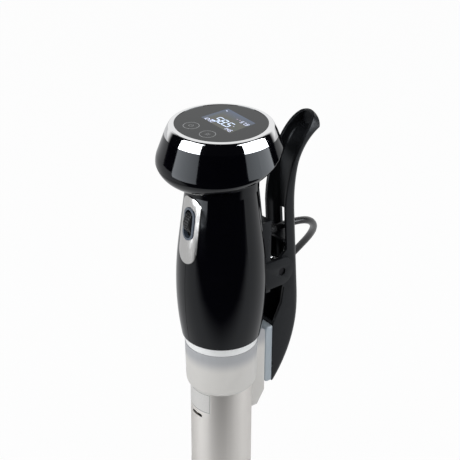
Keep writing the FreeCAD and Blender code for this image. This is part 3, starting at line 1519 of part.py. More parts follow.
def cord_route():
    """From the gland through the lever's slot, down behind the tube, and up to the coil."""
    turn_radius = d.coil_radius.value + d.coil_half.value - d.cord_radius.value
    rest = d.cord_radius.value + d.coil_lift.value
    corner = turn_radius * math.sqrt(0.5)
    return [
        (0.0, d.gland_end.value, d.gland_z.value),
        (0.0, 77.0, d.gland_z.value),
        (-3.0, 102.0, 280.0),
        (-20.0, 123.0, 256.0),
        (-48.0, 124.0, 221.0),
        (-70.0, 106.0, 184.0),
        (-77.0, 82.0, 146.0),
        (-75.0, 62.0, 108.0),
        (-66.0, 50.0, 74.0),
        (-53.0, 46.0, 44.0),
        (-37.0, 51.0, 20.0),
        (-18.0, 63.0, 6.0),
        (2.0, 80.0, rest),
        (d.coil_x.value - corner, d.coil_y.value + corner, rest),
    ]


def tail_route():
    """From the coil's outer turn to the plug."""
    turn_radius = d.coil_radius.value + d.coil_half.value - d.cord_radius.value
    rest = d.cord_radius.value + d.coil_lift.value
    return [
        (d.coil_x.value + turn_radius, d.coil_y.value, rest),
        (94.8, 50.0, 4.3),
        (96.0, 34.0, 8.0),
        (96.5, 18.0, d.plug_half_height.value),
        (d.plug_x.value, d.plug_y.value, d.plug_half_height.value),
    ]


def coil_outline(name, grow=0.0):
    """Ring that the coil's turns fill: three turns wide on the floor, two on top."""
    low = d.coil_lift - grow
    high = d.coil_lift + d.coil_height + grow
    shoulder = d.coil_lift + d.coil_shoulder
    half = d.coil_half + grow
    top_half = d.coil_top_half + grow
    return turned(name, [
        (d.coil_radius - half, low),
        (d.coil_radius + half, low),
        (d.coil_radius + half, shoulder),
        (d.coil_radius + top_half, high),
        (d.coil_radius - top_half, high),
        (d.coil_radius - half, shoulder),
    ])


def mains_lead():
    """Gland, lead, stored coil with its tie, and the plug."""
    seat = d.gland_seat
    node("cord_gland", fuse(
        "gland", rod("gland_collar", "Y", d.gland_flange, (d.gland_low, seat), (0.0, d.gland_z)),
        taper("gland_boot", "Y", (d.gland_root, d.gland_tip), (seat, d.gland_end), (0.0, d.gland_z))))
    for name, route in (("power_cord", cord_route()), ("plug_lead", tail_route())):
        radii = [natural_radius(*three) for three in zip(route, route[1:], route[2:])]
        print(name, "radii", [round(r, 1) for r in radii])
        node(name, bent_tube(name + "_bar", route, radii, d.cord_radius.value))
    high = d.coil_lift + d.coil_height
    node("cord_coil", place(coil_outline("coil"), d.coil_x, d.coil_y, 0.0))
    strap = d.coil_lift - d.fit_gap
    out = d.coil_half + d.coil_lift
    band = block("tie_band", (d.coil_x - d.coil_radius - out, d.coil_x - d.coil_radius + out + d.fit_gap),
                 (d.coil_y - d.tie_width / 2, d.coil_y + d.tie_width / 2), (0.0, high + d.fit_gap + strap))
    room = place(coil_outline("coil_room", d.fit_gap), d.coil_x, d.coil_y, 0.0)
    node("cord_tie", cut("tie", band, room))
    plug()


def plug():
    """Flat-sided mains plug lying on the floor, with two round pins."""
    x, y, z = d.plug_x, d.plug_y, d.plug_half_height
    half = d.plug_half_width
    low = half - d.plug_half_height
    face = y - d.plug_neck - d.plug_length
    body = prism("plug_body", "XZ_Plane", [
        (x - low, 0.0),
        (x + low, 0.0),
        bend(z, 1),
        (x + half, z),
        bend(z, 1),
        (x + low, z * 2),
        (x - low, z * 2),
        bend(z, 1),
        (x - half, z),
        bend(z, 1),
    ], face, y - d.plug_neck)
    neck = taper("plug_neck_boot", "Y", (d.plug_half_height - 3, d.gland_root),
                 (y - d.plug_neck - 0.5, y), (x, z))
    node("plug", fuse("plug_raw", body, neck))
    node("plug_pins", group("pin_set", *[
        rod("plug_pin_%d" % side, "Y", d.plug_pin_radius, (face - d.plug_pin_length, face),
            (x + d.plug_pin_spacing / 2 * side, z)) for side in (-1, 1)]))


# ---------------------------------------------------------------- build and write


def write_parts():
    doc.recompute()
    failed = [f.Label for f in doc.Objects if {"Invalid", "Error"} & set(f.State)]
    failed += [f.Label for f in nodes if f.Shape.isNull() or not f.Shape.isValid()]
    if failed:
        raise SystemExit("not built: " + ", ".join(failed))
    os.makedirs("parts", exist_ok=True)
    for feature in nodes:
        feature.Shape.exportStep("parts/%s.step" % feature.Label)
    print(len(nodes), "parts")


fill_sheet()
outer_tube()
foot_cap()
pump()
bulkhead()
heater()
chassis()
motor()
power_board()
body_shells()
trim_and_collar()
head()
controls()
bezel_and_trim()
thumb_wheel()
clamp_bracket()
clamp_lever()
jaw_pad()
torsion_spring()
mains_lead()
write_parts()
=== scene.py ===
import json
import math

import bpy
from mathutils import Matrix, Vector

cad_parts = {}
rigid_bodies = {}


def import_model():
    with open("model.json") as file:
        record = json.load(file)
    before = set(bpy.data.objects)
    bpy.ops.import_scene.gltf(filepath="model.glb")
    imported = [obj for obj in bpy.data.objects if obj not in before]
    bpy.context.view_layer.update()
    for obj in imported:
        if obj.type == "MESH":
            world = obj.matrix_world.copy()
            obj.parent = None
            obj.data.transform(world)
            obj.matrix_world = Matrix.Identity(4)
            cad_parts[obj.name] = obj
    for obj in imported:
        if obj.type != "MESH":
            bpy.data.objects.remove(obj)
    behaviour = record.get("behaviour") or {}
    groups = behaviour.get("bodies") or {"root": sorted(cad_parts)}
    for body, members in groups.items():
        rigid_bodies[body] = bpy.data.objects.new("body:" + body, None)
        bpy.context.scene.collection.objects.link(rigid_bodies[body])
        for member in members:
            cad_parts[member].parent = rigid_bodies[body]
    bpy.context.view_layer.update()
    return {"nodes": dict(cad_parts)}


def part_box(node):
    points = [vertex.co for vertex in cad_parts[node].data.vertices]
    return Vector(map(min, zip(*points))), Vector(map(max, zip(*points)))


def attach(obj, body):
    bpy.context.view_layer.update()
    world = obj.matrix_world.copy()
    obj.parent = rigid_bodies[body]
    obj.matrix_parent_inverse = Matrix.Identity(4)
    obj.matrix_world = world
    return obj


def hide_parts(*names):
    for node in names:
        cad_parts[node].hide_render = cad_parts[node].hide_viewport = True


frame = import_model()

# ---------------------------------------------------------------- the set
# A studio: a camera that looks down on the circulator from its right front, a pale floor that runs
# into a white background, two tall soft boxes beside the camera and a dark room behind it.

BEARING = math.radians(52.3)          # the camera's way round from the front, towards +X
CAMERA_AWAY = 0.973
CAMERA_HEIGHT = 0.8207
CAMERA_TILT = math.radians(62.0)      # from straight down
TOWARDS_CAMERA = Vector((math.sin(BEARING), -math.cos(BEARING), 0.0))
lens = bpy.data.cameras.new("camera")
lens.sensor_width = 36.0
lens.lens = 104.09
lens.shift_x = 0.019
camera = bpy.data.objects.new("camera", lens)
camera.location = TOWARDS_CAMERA * CAMERA_AWAY + Vector((0.0, 0.0, CAMERA_HEIGHT))
camera.rotation_euler = (CAMERA_TILT, 0.0, BEARING)
bpy.context.scene.collection.objects.link(camera)
bpy.context.scene.camera = camera
bpy.context.scene.view_settings.view_transform = "Standard"


def add_node(tree, kind, inputs=None, **settings):
    """A shader node; inputs gives each socket a value or another node's output."""
    made = tree.nodes.new("ShaderNode" + kind)
    for name, value in settings.items():
        setattr(made, name, value)
    for socket, value in (inputs or {}).items():
        if isinstance(value, bpy.types.NodeSocket):
            tree.links.new(value, made.inputs[socket])
        else:
            made.inputs[socket].default_value = value
    return made


def pick_nothing():
    """Deselects everything."""
    for thing in bpy.context.view_layer.objects:
        thing.select_set(False)


def finish_place(piece):
    """Puts a new piece's place and turn into its mesh."""
    pick_nothing()
    piece.select_set(True)
    bpy.context.view_layer.objects.active = piece
    bpy.ops.object.transform_apply(location=True, rotation=True, scale=True)
    return piece


def sheet_of(name, size, place, turn=(0.0, 0.0, 0.0)):
    """A flat rectangle of the set."""
    pick_nothing()
    bpy.ops.mesh.primitive_plane_add(size=1.0, location=place, rotation=turn)
    made = bpy.context.active_object
    made.name = name
    made.scale = (size[0], size[1], 1.0)
    return finish_place(made)


# Floor: matt and nearly white to the camera. Polished faces see a lit sheet that fades to dark
# towards the camera.
floor = sheet_of("floor", (9.0, 9.0), (0.0, 0.0, 0.0))
paper = bpy.data.materials.new("paper")
paper.use_nodes = True
tree = paper.node_tree
tree.nodes.clear()
path = add_node(tree, "LightPath")
matt = add_node(tree, "BsdfDiffuse", {"Color": (0.92, 0.92, 0.92, 1.0)})
seen = add_node(tree, "Emission", {"Color": (1.0, 1.0, 1.0, 1.0), "Strength": 1.0})
spot = add_node(tree, "TexCoord")
nearer = add_node(tree, "VectorMath", {0: spot.outputs["Object"], 1: TOWARDS_CAMERA},
                  operation="DOT_PRODUCT")
aside = add_node(tree, "VectorMath", {0: spot.outputs["Object"],
                                      1: TOWARDS_CAMERA.cross(Vector((0.0, 0.0, -1.0)))},
                 operation="DOT_PRODUCT")
spread = add_node(tree, "Math", {0: aside.outputs["Value"]}, operation="ABSOLUTE")
lead_in = add_node(tree, "Math", {0: spread.outputs[0], 1: -0.15, 2: nearer.outputs["Value"]},
                   operation="MULTIPLY_ADD")
unlit = add_node(tree, "MapRange", {0: lead_in.outputs[0], 1: 0.13, 2: 0.35, 4: 0.985},
                 interpolation_type="SMOOTHSTEP")
sheen = add_node(tree, "Mix", {0: unlit.outputs[0], 6: (0.62, 0.625, 0.635, 1.0),
                               7: (0.002, 0.002, 0.003, 1.0)}, data_type="RGBA")
mirrored = add_node(tree, "Emission", {"Color": sheen.outputs[2], "Strength": 1.0})
share = add_node(tree, "Math", {0: path.outputs["Is Camera Ray"], 1: 0.93}, operation="MULTIPLY")
to_camera = add_node(tree, "MixShader", {0: share.outputs[0], 1: matt.outputs[0],
                                         2: seen.outputs[0]})
polished = add_node(tree, "Math", {0: path.outputs["Is Glossy Ray"],
                                   1: path.outputs["Is Transmission Ray"]}, operation="MAXIMUM")
to_gloss = add_node(tree, "MixShader", {0: polished.outputs[0], 1: to_camera.outputs[0],
                                        2: mirrored.outputs[0]})
add_node(tree, "OutputMaterial", {"Surface": to_gloss.outputs[0]})
floor.data.materials.append(paper)

# Room: white to the camera and behind the object, dark behind the camera, and an even grey as the
# light on matt faces.
room = bpy.data.worlds.new("room")
bpy.context.scene.world = room
room.use_nodes = True
tree = room.node_tree
tree.nodes.clear()
path = add_node(tree, "LightPath")
way = add_node(tree, "TexCoord")
facing = add_node(tree, "VectorMath", {0: way.outputs["Generated"], 1: TOWARDS_CAMERA},
                  operation="DOT_PRODUCT")
dark = add_node(tree, "MapRange", {0: facing.outputs["Value"], 1: -0.72, 2: -0.46},
                interpolation_type="SMOOTHSTEP")
glow = add_node(tree, "Mix", {0: dark.outputs[0], 6: (0.93, 0.935, 0.94, 1.0),
                              7: (0.002, 0.002, 0.003, 1.0)}, data_type="RGBA")
lit = add_node(tree, "Mix", {0: path.outputs["Is Diffuse Ray"], 6: glow.outputs[2],
                             7: (0.66, 0.67, 0.68, 1.0)}, data_type="RGBA")
shown = add_node(tree, "Mix", {0: path.outputs["Is Camera Ray"], 6: lit.outputs[2],
                               7: (1.0, 1.0, 1.0, 1.0)}, data_type="RGBA")
sky = add_node(tree, "Background", {"Color": shown.outputs[2], "Strength": 1.0})
add_node(tree, "OutputWorld", {"Surface": sky.outputs[0]})

# Soft boxes: a cloth that only polished faces see, brighter on one side, and a lamp of the same
# size that lights the object. Each has a bearing from +X, a width, a lower edge, the glare at its
# two sides and a lamp power.
BOX_AWAY = 1.25
BOX_TOP = 2.1
SOFT_BOXES = {"left": (-103.0, 1.10, 0.0, (4.9, 2.6), 9.0),
              "right": (35.5, 1.30, 0.28, (2.6, 5.2), 6.0)}
for name, (bearing, width, low, glare, power) in SOFT_BOXES.items():
    angle = math.radians(bearing)
    spot = Vector((math.cos(angle), math.sin(angle), 0.0)) * BOX_AWAY
    spot += Vector((0.0, 0.0, (low + BOX_TOP) / 2))
    turn = (math.radians(90.0), 0.0, angle - math.radians(90.0))
    cloth = sheet_of("soft_box_" + name, (width, BOX_TOP - low), spot, turn)
    cloth.visible_camera = False
    cloth.visible_diffuse = False
    cloth.visible_shadow = False
    silk = bpy.data.materials.new("silk_" + name)
    silk.use_nodes = True
    tree = silk.node_tree
    tree.nodes.clear()
    place = add_node(tree, "TexCoord")
    across = add_node(tree, "VectorMath", {0: place.outputs["Object"],
                                           1: Vector((-math.sin(angle), math.cos(angle), 0.0))},
                      operation="DOT_PRODUCT")
    shade = add_node(tree, "MapRange", {0: across.outputs["Value"], 1: -width / 2, 2: width / 2,
                                        3: glare[0], 4: glare[1]})
    bulb = add_node(tree, "Emission", {"Color": (0.93, 0.96, 1.0, 1.0),
                                       "Strength": shade.outputs[0]})
    add_node(tree, "OutputMaterial", {"Surface": bulb.outputs[0]})
    cloth.data.materials.append(silk)
    lamp = bpy.data.lights.new("lamp_" + name, "AREA")
    lamp.shape = "RECTANGLE"
    lamp.size = width
    lamp.size_y = BOX_TOP - low
    lamp.energy = power
    fixture = bpy.data.objects.new("lamp_" + name, lamp)
    fixture.location = spot
    fixture.rotation_euler = (math.radians(90.0), 0.0, angle + math.radians(90.0))
    fixture.visible_glossy = False
    fixture.visible_camera = False
    bpy.context.scene.collection.objects.link(fixture)


# ---------------------------------------------------------------- mains lead
# A black sheathed two-core lead, moulded into its bend protector and its plug. It passes through
# the lever's slot and hangs down behind the tube; its spare length is coiled on the worktop with a
# strap.


SURFACE = (("Roughness", "Float"), ("Height", "Float"), ("Tone", "Float"))   # what a group gives


def new_group(name, inputs, outputs):
    """An empty shader group with number, colour or vector sockets."""
    group = bpy.data.node_groups.new(name, "ShaderNodeTree")
    for way, sockets in (("INPUT", inputs), ("OUTPUT", outputs)):
        for label, kind in sockets:
            group.interface.new_socket(name=label, in_out=way, socket_type="NodeSocket" + kind)
    start = group.nodes.new("NodeGroupInput")
    end = group.nodes.new("NodeGroupOutput")
    return group, start.outputs, end.inputs


# Handling: soft smears in the gloss, a fine moulded grain and thin hairline scratches.
handling, given, made = new_group("handling", (
    ("Vector", "Vector"), ("Roughness", "Float"), ("Smear", "Float"), ("Grain Scale", "Float"),
    ("Scratch", "Float")), SURFACE)
smear = add_node(handling, "TexNoise", {"Vector": given[0], "Scale": 42.0, "Detail": 3.0,
                                        "Roughness": 0.55, "Distortion": 0.6})
grain = add_node(handling, "TexNoise", {"Vector": given[0], "Scale": given[3], "Detail": 2.0})
stretched = add_node(handling, "Mapping", {"Vector": given[0], "Rotation": (0.5, 0.3, 0.9),
                                           "Scale": (2600.0, 60.0, 700.0)})
hair = add_node(handling, "TexNoise", {"Vector": stretched.outputs[0], "Scale": 1.0, "Detail": 1.0})
line = add_node(handling, "MapRange", {0: hair.outputs[0], 1: 0.70, 2: 0.78})
even = add_node(handling, "Math", {0: smear.outputs[0], 1: 0.5}, operation="SUBTRACT")
smeared = add_node(handling, "Math", {0: even.outputs[0], 1: given[2], 2: given[1]},
                   operation="MULTIPLY_ADD")
scratched = add_node(handling, "Math", {0: line.outputs[0], 1: given[4], 2: smeared.outputs[0]},
                     operation="MULTIPLY_ADD")
handling.links.new(scratched.outputs[0], made[0])
handling.links.new(grain.outputs[0], made[1])
handling.links.new(smear.outputs[0], made[2])

# Draw lines: long fine streaks left by drawing, brushing or polishing along one direction.
streaks, given, made = new_group("streaks", (
    ("Vector", "Vector"), ("Stretch", "Vector"), ("Roughness", "Float"), ("Spread", "Float")),
    SURFACE)
pulled = add_node(streaks, "VectorMath", {0: given[0], 1: given[1]}, operation="MULTIPLY")
fine = add_node(streaks, "TexNoise", {"Vector": pulled.outputs[0], "Scale": 1.0, "Detail": 4.0,
                                      "Roughness": 0.7})
broad = add_node(streaks, "TexNoise", {"Vector": given[0], "Scale": 30.0, "Detail": 2.0})
offset = add_node(streaks, "Math", {0: fine.outputs[0], 1: 0.5}, operation="SUBTRACT")
rough = add_node(streaks, "Math", {0: offset.outputs[0], 1: given[3], 2: given[2]},
                 operation="MULTIPLY_ADD")
mixed = add_node(streaks, "Mix", {0: 0.25, 2: fine.outputs[0], 3: broad.outputs[0]})
streaks.links.new(rough.outputs[0], made[0])
streaks.links.new(fine.outputs[0], made[1])
streaks.links.new(mixed.outputs[0], made[2])


def start_material(name, **constants):
    """A material whose Principled shader has its constant sockets set."""
    finish = bpy.data.materials.new(name)
    finish.use_nodes = True
    shader = finish.node_tree.nodes["Principled BSDF"]
    for label, value in constants.items():
        shader.inputs[label.replace("_", " ")].default_value = value
    place = finish.node_tree.nodes.new("ShaderNodeTexCoord").outputs["Object"]
    return finish, finish.node_tree, shader, place


def two_tone(tree, shader, tone, low, high):
    """Base colour that drifts between two near colours."""
    colour = add_node(tree, "Mix", {0: tone, 6: low + (1.0,), 7: high + (1.0,)}, data_type="RGBA")
    tree.links.new(colour.outputs[2], shader.inputs["Base Color"])


def raise_grain(tree, shader, height, strength, depth):
    """Bump from a height, in metres of depth."""
    bump = add_node(tree, "Bump", {"Height": height, "Strength": strength, "Distance": depth})
    tree.links.new(bump.outputs[0], shader.inputs["Normal"])


def moulded(name, low, high, roughness, smear, grain, depth, scratch=0.0, **constants):
    """Moulded plastic or rubber: a drift of tone, smeared gloss and a fine grain."""
    finish, tree, shader, place = start_material(name, **constants)
    use = add_node(tree, "Group", node_tree=handling)
    tree.links.new(place, use.inputs[0])
    for index, value in enumerate((roughness, smear, grain, scratch), 1):
        use.inputs[index].default_value = value
    tree.links.new(use.outputs[0], shader.inputs["Roughness"])
    two_tone(tree, shader, use.outputs[2], low, high)
    raise_grain(tree, shader, use.outputs[1], 0.35, depth)
    return finish


def drawn_metal(name, low, high, stretch, roughness, spread, depth, **constants):
    """Bare or plated metal with its draw lines along one direction."""
    finish, tree, shader, place = start_material(name, Metallic=1.0, **constants)
    use = add_node(tree, "Group", {0: place, 1: stretch, 2: roughness, 3: spread},
                   node_tree=streaks)
    tree.links.new(use.outputs[0], shader.inputs["Roughness"])
    two_tone(tree, shader, use.outputs[2], low, high)
    raise_grain(tree, shader, use.outputs[1], 0.25, depth)
    return finish


def coat_nodes(finish, *names):
    """Gives CAD nodes one material each."""
    for name in names:
        mesh = frame["nodes"][name].data
        mesh.materials.clear()
        mesh.materials.append(finish)


def eased_copy(name, width, body, finish, sharp=32.0, segments=3):
    """A CAD node's own shape with its sharp edges rounded over, as moulding leaves them."""
    mesh = frame["nodes"][name].data.copy()
    piece = bpy.data.objects.new(name + "_eased", mesh)
    bpy.context.scene.collection.objects.link(piece)
    pick_nothing()
    piece.select_set(True)
    bpy.context.view_layer.objects.active = piece
    bpy.ops.mesh.customdata_custom_splitnormals_clear()
    bpy.ops.object.mode_set(mode="EDIT")
    bpy.ops.mesh.select_all(action="SELECT")
    bpy.ops.mesh.remove_doubles(threshold=2e-6)
    bpy.ops.mesh.dissolve_limited(angle_limit=math.radians(1.0), delimit=set())
    bpy.ops.object.mode_set(mode="OBJECT")
    edge = piece.modifiers.new("edge", "BEVEL")
    edge.width = width
    edge.segments = segments
    edge.limit_method = "ANGLE"
    edge.angle_limit = math.radians(sharp)
    edge.use_clamp_overlap = True
    edge.miter_outer = "MITER_ARC"
    bpy.ops.object.modifier_apply(modifier="edge")
    bpy.ops.object.shade_smooth_by_angle(angle=math.radians(sharp))
    mesh.materials.clear()
    mesh.materials.append(finish)
    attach(piece, body)
    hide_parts(name)
    return piece


GLAND_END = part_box("cord_gland")[1].y
LEAD_HEIGHT = (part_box("cord_gland")[0].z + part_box("cord_gland")[1].z) / 2
LEAD_RADIUS = 0.00325
coil_low, coil_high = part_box("cord_coil")
COIL_MIDDLE = (coil_low + coil_high) / 2
OUTER_TURN = (coil_high.x - coil_low.x) / 2 - LEAD_RADIUS
FLOOR_TURN = LEAD_RADIUS + 0.0009
UPPER_TURN = FLOOR_TURN + 2 * LEAD_RADIUS
hanging = [(0.0, GLAND_END, LEAD_HEIGHT), (0.0, 0.077, LEAD_HEIGHT), (-0.003, 0.102, 0.280),
           (-0.020, 0.123, 0.256), (-0.048, 0.124, 0.221), (-0.070, 0.106, 0.184),
           (-0.077, 0.082, 0.146), (-0.075, 0.062, 0.108), (-0.066, 0.050, 0.074),
           (-0.053, 0.046, 0.044), (-0.037, 0.051, 0.020), (-0.018, 0.063, 0.006),
           (0.002, 0.080, FLOOR_TURN)]
TURN_POINTS = 16
LOW_TURNS, CLIMB, HIGH_TURNS = 2.5, 0.3, 1.575
UPPER_PITCH = 2.03                    # in lead radiuses, from turn to turn on top
LEAVING_TURN, LEAVING_REACH = 0.25, 0.0075          # how late and how far the lead leaves the coil
COIL_START = math.radians(135.0)


def on_coil(turn):
    """The lead's middle after so many turns: inwards on the worktop, then outwards on top."""
    inner = OUTER_TURN - LOW_TURNS * 2 * LEAD_RADIUS
    climbed = min(max((turn - LOW_TURNS) / CLIMB, 0.0), 1.0)
    outward = max(turn - LOW_TURNS - CLIMB, 0.0)
    leaving = max(outward - HIGH_TURNS + LEAVING_TURN, 0.0) / LEAVING_TURN
    reach = max(OUTER_TURN - turn * 2 * LEAD_RADIUS, inner) + outward * UPPER_PITCH * LEAD_RADIUS
    reach += LEAVING_REACH * leaving
    angle = COIL_START - turn * 2 * math.pi
    return Vector((COIL_MIDDLE.x + reach * math.cos(angle), COIL_MIDDLE.y + reach * math.sin(angle),
                   FLOOR_TURN + (UPPER_TURN - FLOOR_TURN) * climbed))


coiled = []
for count in range(int((LOW_TURNS + CLIMB + HIGH_TURNS) * TURN_POINTS) + 1):
    place = on_coil(count / TURN_POINTS)
    pulled = 1 / math.cos(math.pi / TURN_POINTS)       # the spline cuts this much inside its points
    coiled.append((COIL_MIDDLE.x + (place.x - COIL_MIDDLE.x) * pulled,
                   COIL_MIDDLE.y + (place.y - COIL_MIDDLE.y) * pulled, place.z))
plug_low, plug_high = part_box("plug")
PLUG_X = (plug_high.x + plug_low.x) / 2
PLUG_Z = (plug_high.z + plug_low.z) / 2
tail = [(0.0968, 0.060, 0.0098), (0.0970, 0.048, 0.0072), (0.0967, 0.034, 0.0080),
        (0.0965, 0.018, 0.0122), (PLUG_X, plug_high.y, PLUG_Z)]
line = bpy.data.curves.new("mains_lead", "CURVE")
line.dimensions = "3D"
line.bevel_depth = LEAD_RADIUS
line.bevel_resolution = 5
line.resolution_u = 10
route = hanging + coiled + tail
spline = line.splines.new("NURBS")
spline.points.add(len(route) - 1)
for point, place in zip(spline.points, route):
    point.co = place + (1.0,)
spline.order_u = 3
spline.use_endpoint_u = True
spline.use_smooth = True
line.use_fill_caps = True
lead = bpy.data.objects.new("mains_lead", line)
bpy.context.scene.collection.objects.link(lead)
sheath = moulded("cable_sheath", (0.004, 0.004, 0.005), (0.008, 0.008, 0.009), 0.27, 0.10, 1900.0,
                 0.00004)
line.materials.append(sheath)
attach(lead, "housing")
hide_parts("power_cord", "cord_coil", "plug_lead")

# Bend protector: a soft tapered boot with grooves all round, so that it bends evenly with the lead.
pick_nothing()
gland_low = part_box("cord_gland")[0]
BOOT_START = 0.033
BOOT_RADIUS, FLANGE_RADIUS = 0.006, 0.0074
BOOT_TAPER, GROOVE_WAIST = 0.27, 0.86
bpy.ops.mesh.primitive_cylinder_add(vertices=48, radius=BOOT_RADIUS, depth=GLAND_END - BOOT_START,
                                    location=(0.0, (GLAND_END + BOOT_START) / 2, LEAD_HEIGHT),
                                    rotation=(math.radians(-90.0), 0.0, 0.0))
boot = finish_place(bpy.context.active_object)
boot.name = "bend_protector"
RIBS = 7
pick_nothing()
boot.select_set(True)
bpy.ops.object.mode_set(mode="EDIT")
step = (GLAND_END - BOOT_START) / (RIBS * 4)
for cut in range(1, RIBS * 4):
    bpy.ops.mesh.select_all(action="SELECT")
    bpy.ops.mesh.bisect(plane_co=(0.0, BOOT_START + step * cut, 0.0), plane_no=(0.0, 1.0, 0.0))
bpy.ops.object.mode_set(mode="OBJECT")
for vertex in boot.data.vertices:
    along = (vertex.co.y - BOOT_START) / step
    grown = 1.0 - BOOT_TAPER * along / (RIBS * 4)
    groove = GROOVE_WAIST if round(along) % 4 in (2, 3) and round(along) < RIBS * 4 - 1 else 1.0
    vertex.co.x *= grown * groove
    vertex.co.z = LEAD_HEIGHT + (vertex.co.z - LEAD_HEIGHT) * grown * groove
pick_nothing()
bpy.ops.mesh.primitive_cylinder_add(vertices=64, radius=FLANGE_RADIUS,
                                    depth=BOOT_START - gland_low.y,
                                    location=(0.0, (BOOT_START + gland_low.y) / 2, LEAD_HEIGHT),
                                    rotation=(math.radians(-90.0), 0.0, 0.0))
flange = finish_place(bpy.context.active_object)
pick_nothing()
boot.select_set(True)
flange.select_set(True)
bpy.context.view_layer.objects.active = boot
bpy.ops.object.join()
edge = boot.modifiers.new("edge", "BEVEL")
edge.width = 0.0004
edge.segments = 2
edge.limit_method = "ANGLE"
edge.angle_limit = math.radians(40.0)
bpy.ops.object.modifier_apply(modifier="edge")
bpy.ops.object.shade_smooth_by_angle(angle=math.radians(40.0))
rubber = moulded("soft_black_rubber", (0.012, 0.012, 0.013), (0.019, 0.019, 0.020), 0.48, 0.12,
                 1500.0, 0.00005)
boot.data.materials.append(rubber)
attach(boot, "housing")
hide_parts("cord_gland")

# Strap: a band of hook-and-loop tape wrapped once round the coil's turns.
strap_low, strap_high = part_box("cord_tie")
TAPE = 0.0005
around_turns = []
for turn, first, last in ((0.875, 180, 270), (1.875, 270, 330), (2.875, 0, 90), (3.875, 90, 150)):
    middle = on_coil(turn)
    for angle in (first, (first + last) / 2, last):
        way = math.radians(angle)
        around_turns.append((middle.x + (LEAD_RADIUS + TAPE / 2) * math.cos(way), COIL_MIDDLE.y,
                             middle.z + (LEAD_RADIUS + TAPE / 2) * math.sin(way)))
ribbon = bpy.data.curves.new("coil_strap", "CURVE")
ribbon.dimensions = "3D"
ribbon.extrude = (strap_high.y - strap_low.y) / 2
loop = ribbon.splines.new("BEZIER")
loop.bezier_points.add(len(around_turns) - 1)
for point, place in zip(loop.bezier_points, around_turns):
    point.co = place
    point.handle_left_type = point.handle_right_type = "AUTO"
loop.use_cyclic_u = True
loop.resolution_u = 6
for point in loop.bezier_points:
    point.tilt = math.radians(90.0)
strap = bpy.data.objects.new("coil_strap", ribbon)
bpy.context.scene.collection.objects.link(strap)
pick_nothing()
strap.select_set(True)
bpy.context.view_layer.objects.active = strap
bpy.ops.object.convert(target="MESH")
strap = bpy.context.active_object
tape = strap.modifiers.new("tape", "SOLIDIFY")
tape.thickness = TAPE
tape.offset = 0.0
bpy.ops.object.modifier_apply(modifier="tape")
webbing, tree, shader, place = start_material("hook_and_loop_tape", Sheen_Weight=0.4)
across = add_node(tree, "Mapping", {"Vector": place, "Scale": (1400.0, 2400.0, 1400.0)})
pile = add_node(tree, "TexNoise", {"Vector": across.outputs[0], "Scale": 1.0, "Detail": 3.0})
two_tone(tree, shader, pile.outputs[0], (0.03, 0.03, 0.032), (0.09, 0.09, 0.095))
raise_grain(tree, shader, pile.outputs[0], 0.6, 0.0002)
shader.inputs["Roughness"].default_value = 0.9
strap.data.materials.append(webbing)
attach(strap, "housing")
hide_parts("cord_tie")

# Plug: the moulded body with its edges rounded over, and two plated pins.
plug = eased_copy("plug", 0.0011, "housing", rubber, sharp=38.0)
brass_finish = drawn_metal("plated_brass", (0.75, 0.60, 0.33), (0.86, 0.72, 0.45),
                           (300.0, 60.0, 300.0), 0.26, 0.14, 0.00002)
coat_nodes(brass_finish, "plug_pins")
for piece in (lead, plug, strap, frame["nodes"]["plug_pins"]):
    piece.visible_glossy = False


# ---------------------------------------------------------------- tube and foot
# The part that stands in the water: a drawn stainless tube with a vent slot, and a moulded foot
# with inlets and drains. Inside, a moulded spider carries the pump shaft in a bronze bush.

steel = drawn_metal("drawn_stainless", (0.80, 0.765, 0.72), (0.87, 0.84, 0.80),
                    (40.0, 40.0, 5200.0), 0.44, 0.05, 0.000006, Anisotropic=0.45,
                    Anisotropic_Rotation=0.25)
coat_nodes(steel, "outer_tube")
dark_moulding = moulded("dark_grey_moulding", (0.035, 0.036, 0.038), (0.055, 0.056, 0.058), 0.42,
                        0.16, 1100.0, 0.00006)
eased_copy("foot_cap", 0.0005, "housing", dark_moulding, sharp=50.0, segments=2)
coat_nodes(dark_moulding, "spider")
bronze = drawn_metal("sintered_bronze", (0.46, 0.27, 0.11), (0.60, 0.38, 0.18),
                     (500.0, 500.0, 500.0), 0.42, 0.2, 0.00004)
coat_nodes(bronze, "spider_bush", "shaft_bearing")

# Rating plate: a blank film with a printed border, wrapped on the tube's front below the collar.
TUBE_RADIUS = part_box("outer_tube")[1].x
PLATE_LOW, PLATE_HIGH = 0.1345, 0.1550
PLATE_FROM, PLATE_TO = -36, 32                        # degrees from the front, towards +X
BORDER_IN = 0.0010                                    # from the film's edge to the border's middle
HALF_ROUND = math.radians((PLATE_TO - PLATE_FROM) / 2) * TUBE_RADIUS
pick_nothing()
bpy.ops.mesh.primitive_cylinder_add(vertices=360, radius=TUBE_RADIUS + 0.00001,
                                    depth=PLATE_HIGH - PLATE_LOW, end_fill_type="NOTHING",
                                    location=(0.0, 0.0, (PLATE_LOW + PLATE_HIGH) / 2))
plate = finish_place(bpy.context.active_object)
plate.name = "rating_plate"
bpy.context.tool_settings.mesh_select_mode = (False, False, True)
for face in plate.data.polygons:
    way = math.degrees(math.atan2(face.center.x, -face.center.y))
    face.select = not PLATE_FROM < way < PLATE_TO
bpy.ops.object.mode_set(mode="EDIT")
bpy.ops.mesh.delete(type="FACE")
bpy.ops.object.mode_set(mode="OBJECT")
film = plate.modifiers.new("film", "SOLIDIFY")
film.thickness = 0.00008
film.offset = 1.0
bpy.ops.object.modifier_apply(modifier="film")
bpy.ops.object.shade_smooth_by_angle(angle=math.radians(30.0))
silver, tree, shader, place = start_material("silver_film", Metallic=0.35, Roughness=0.46)
part = add_node(tree, "SeparateXYZ", {0: place})
front = add_node(tree, "Math", {0: part.outputs[1], 1: -1.0}, operation="MULTIPLY")
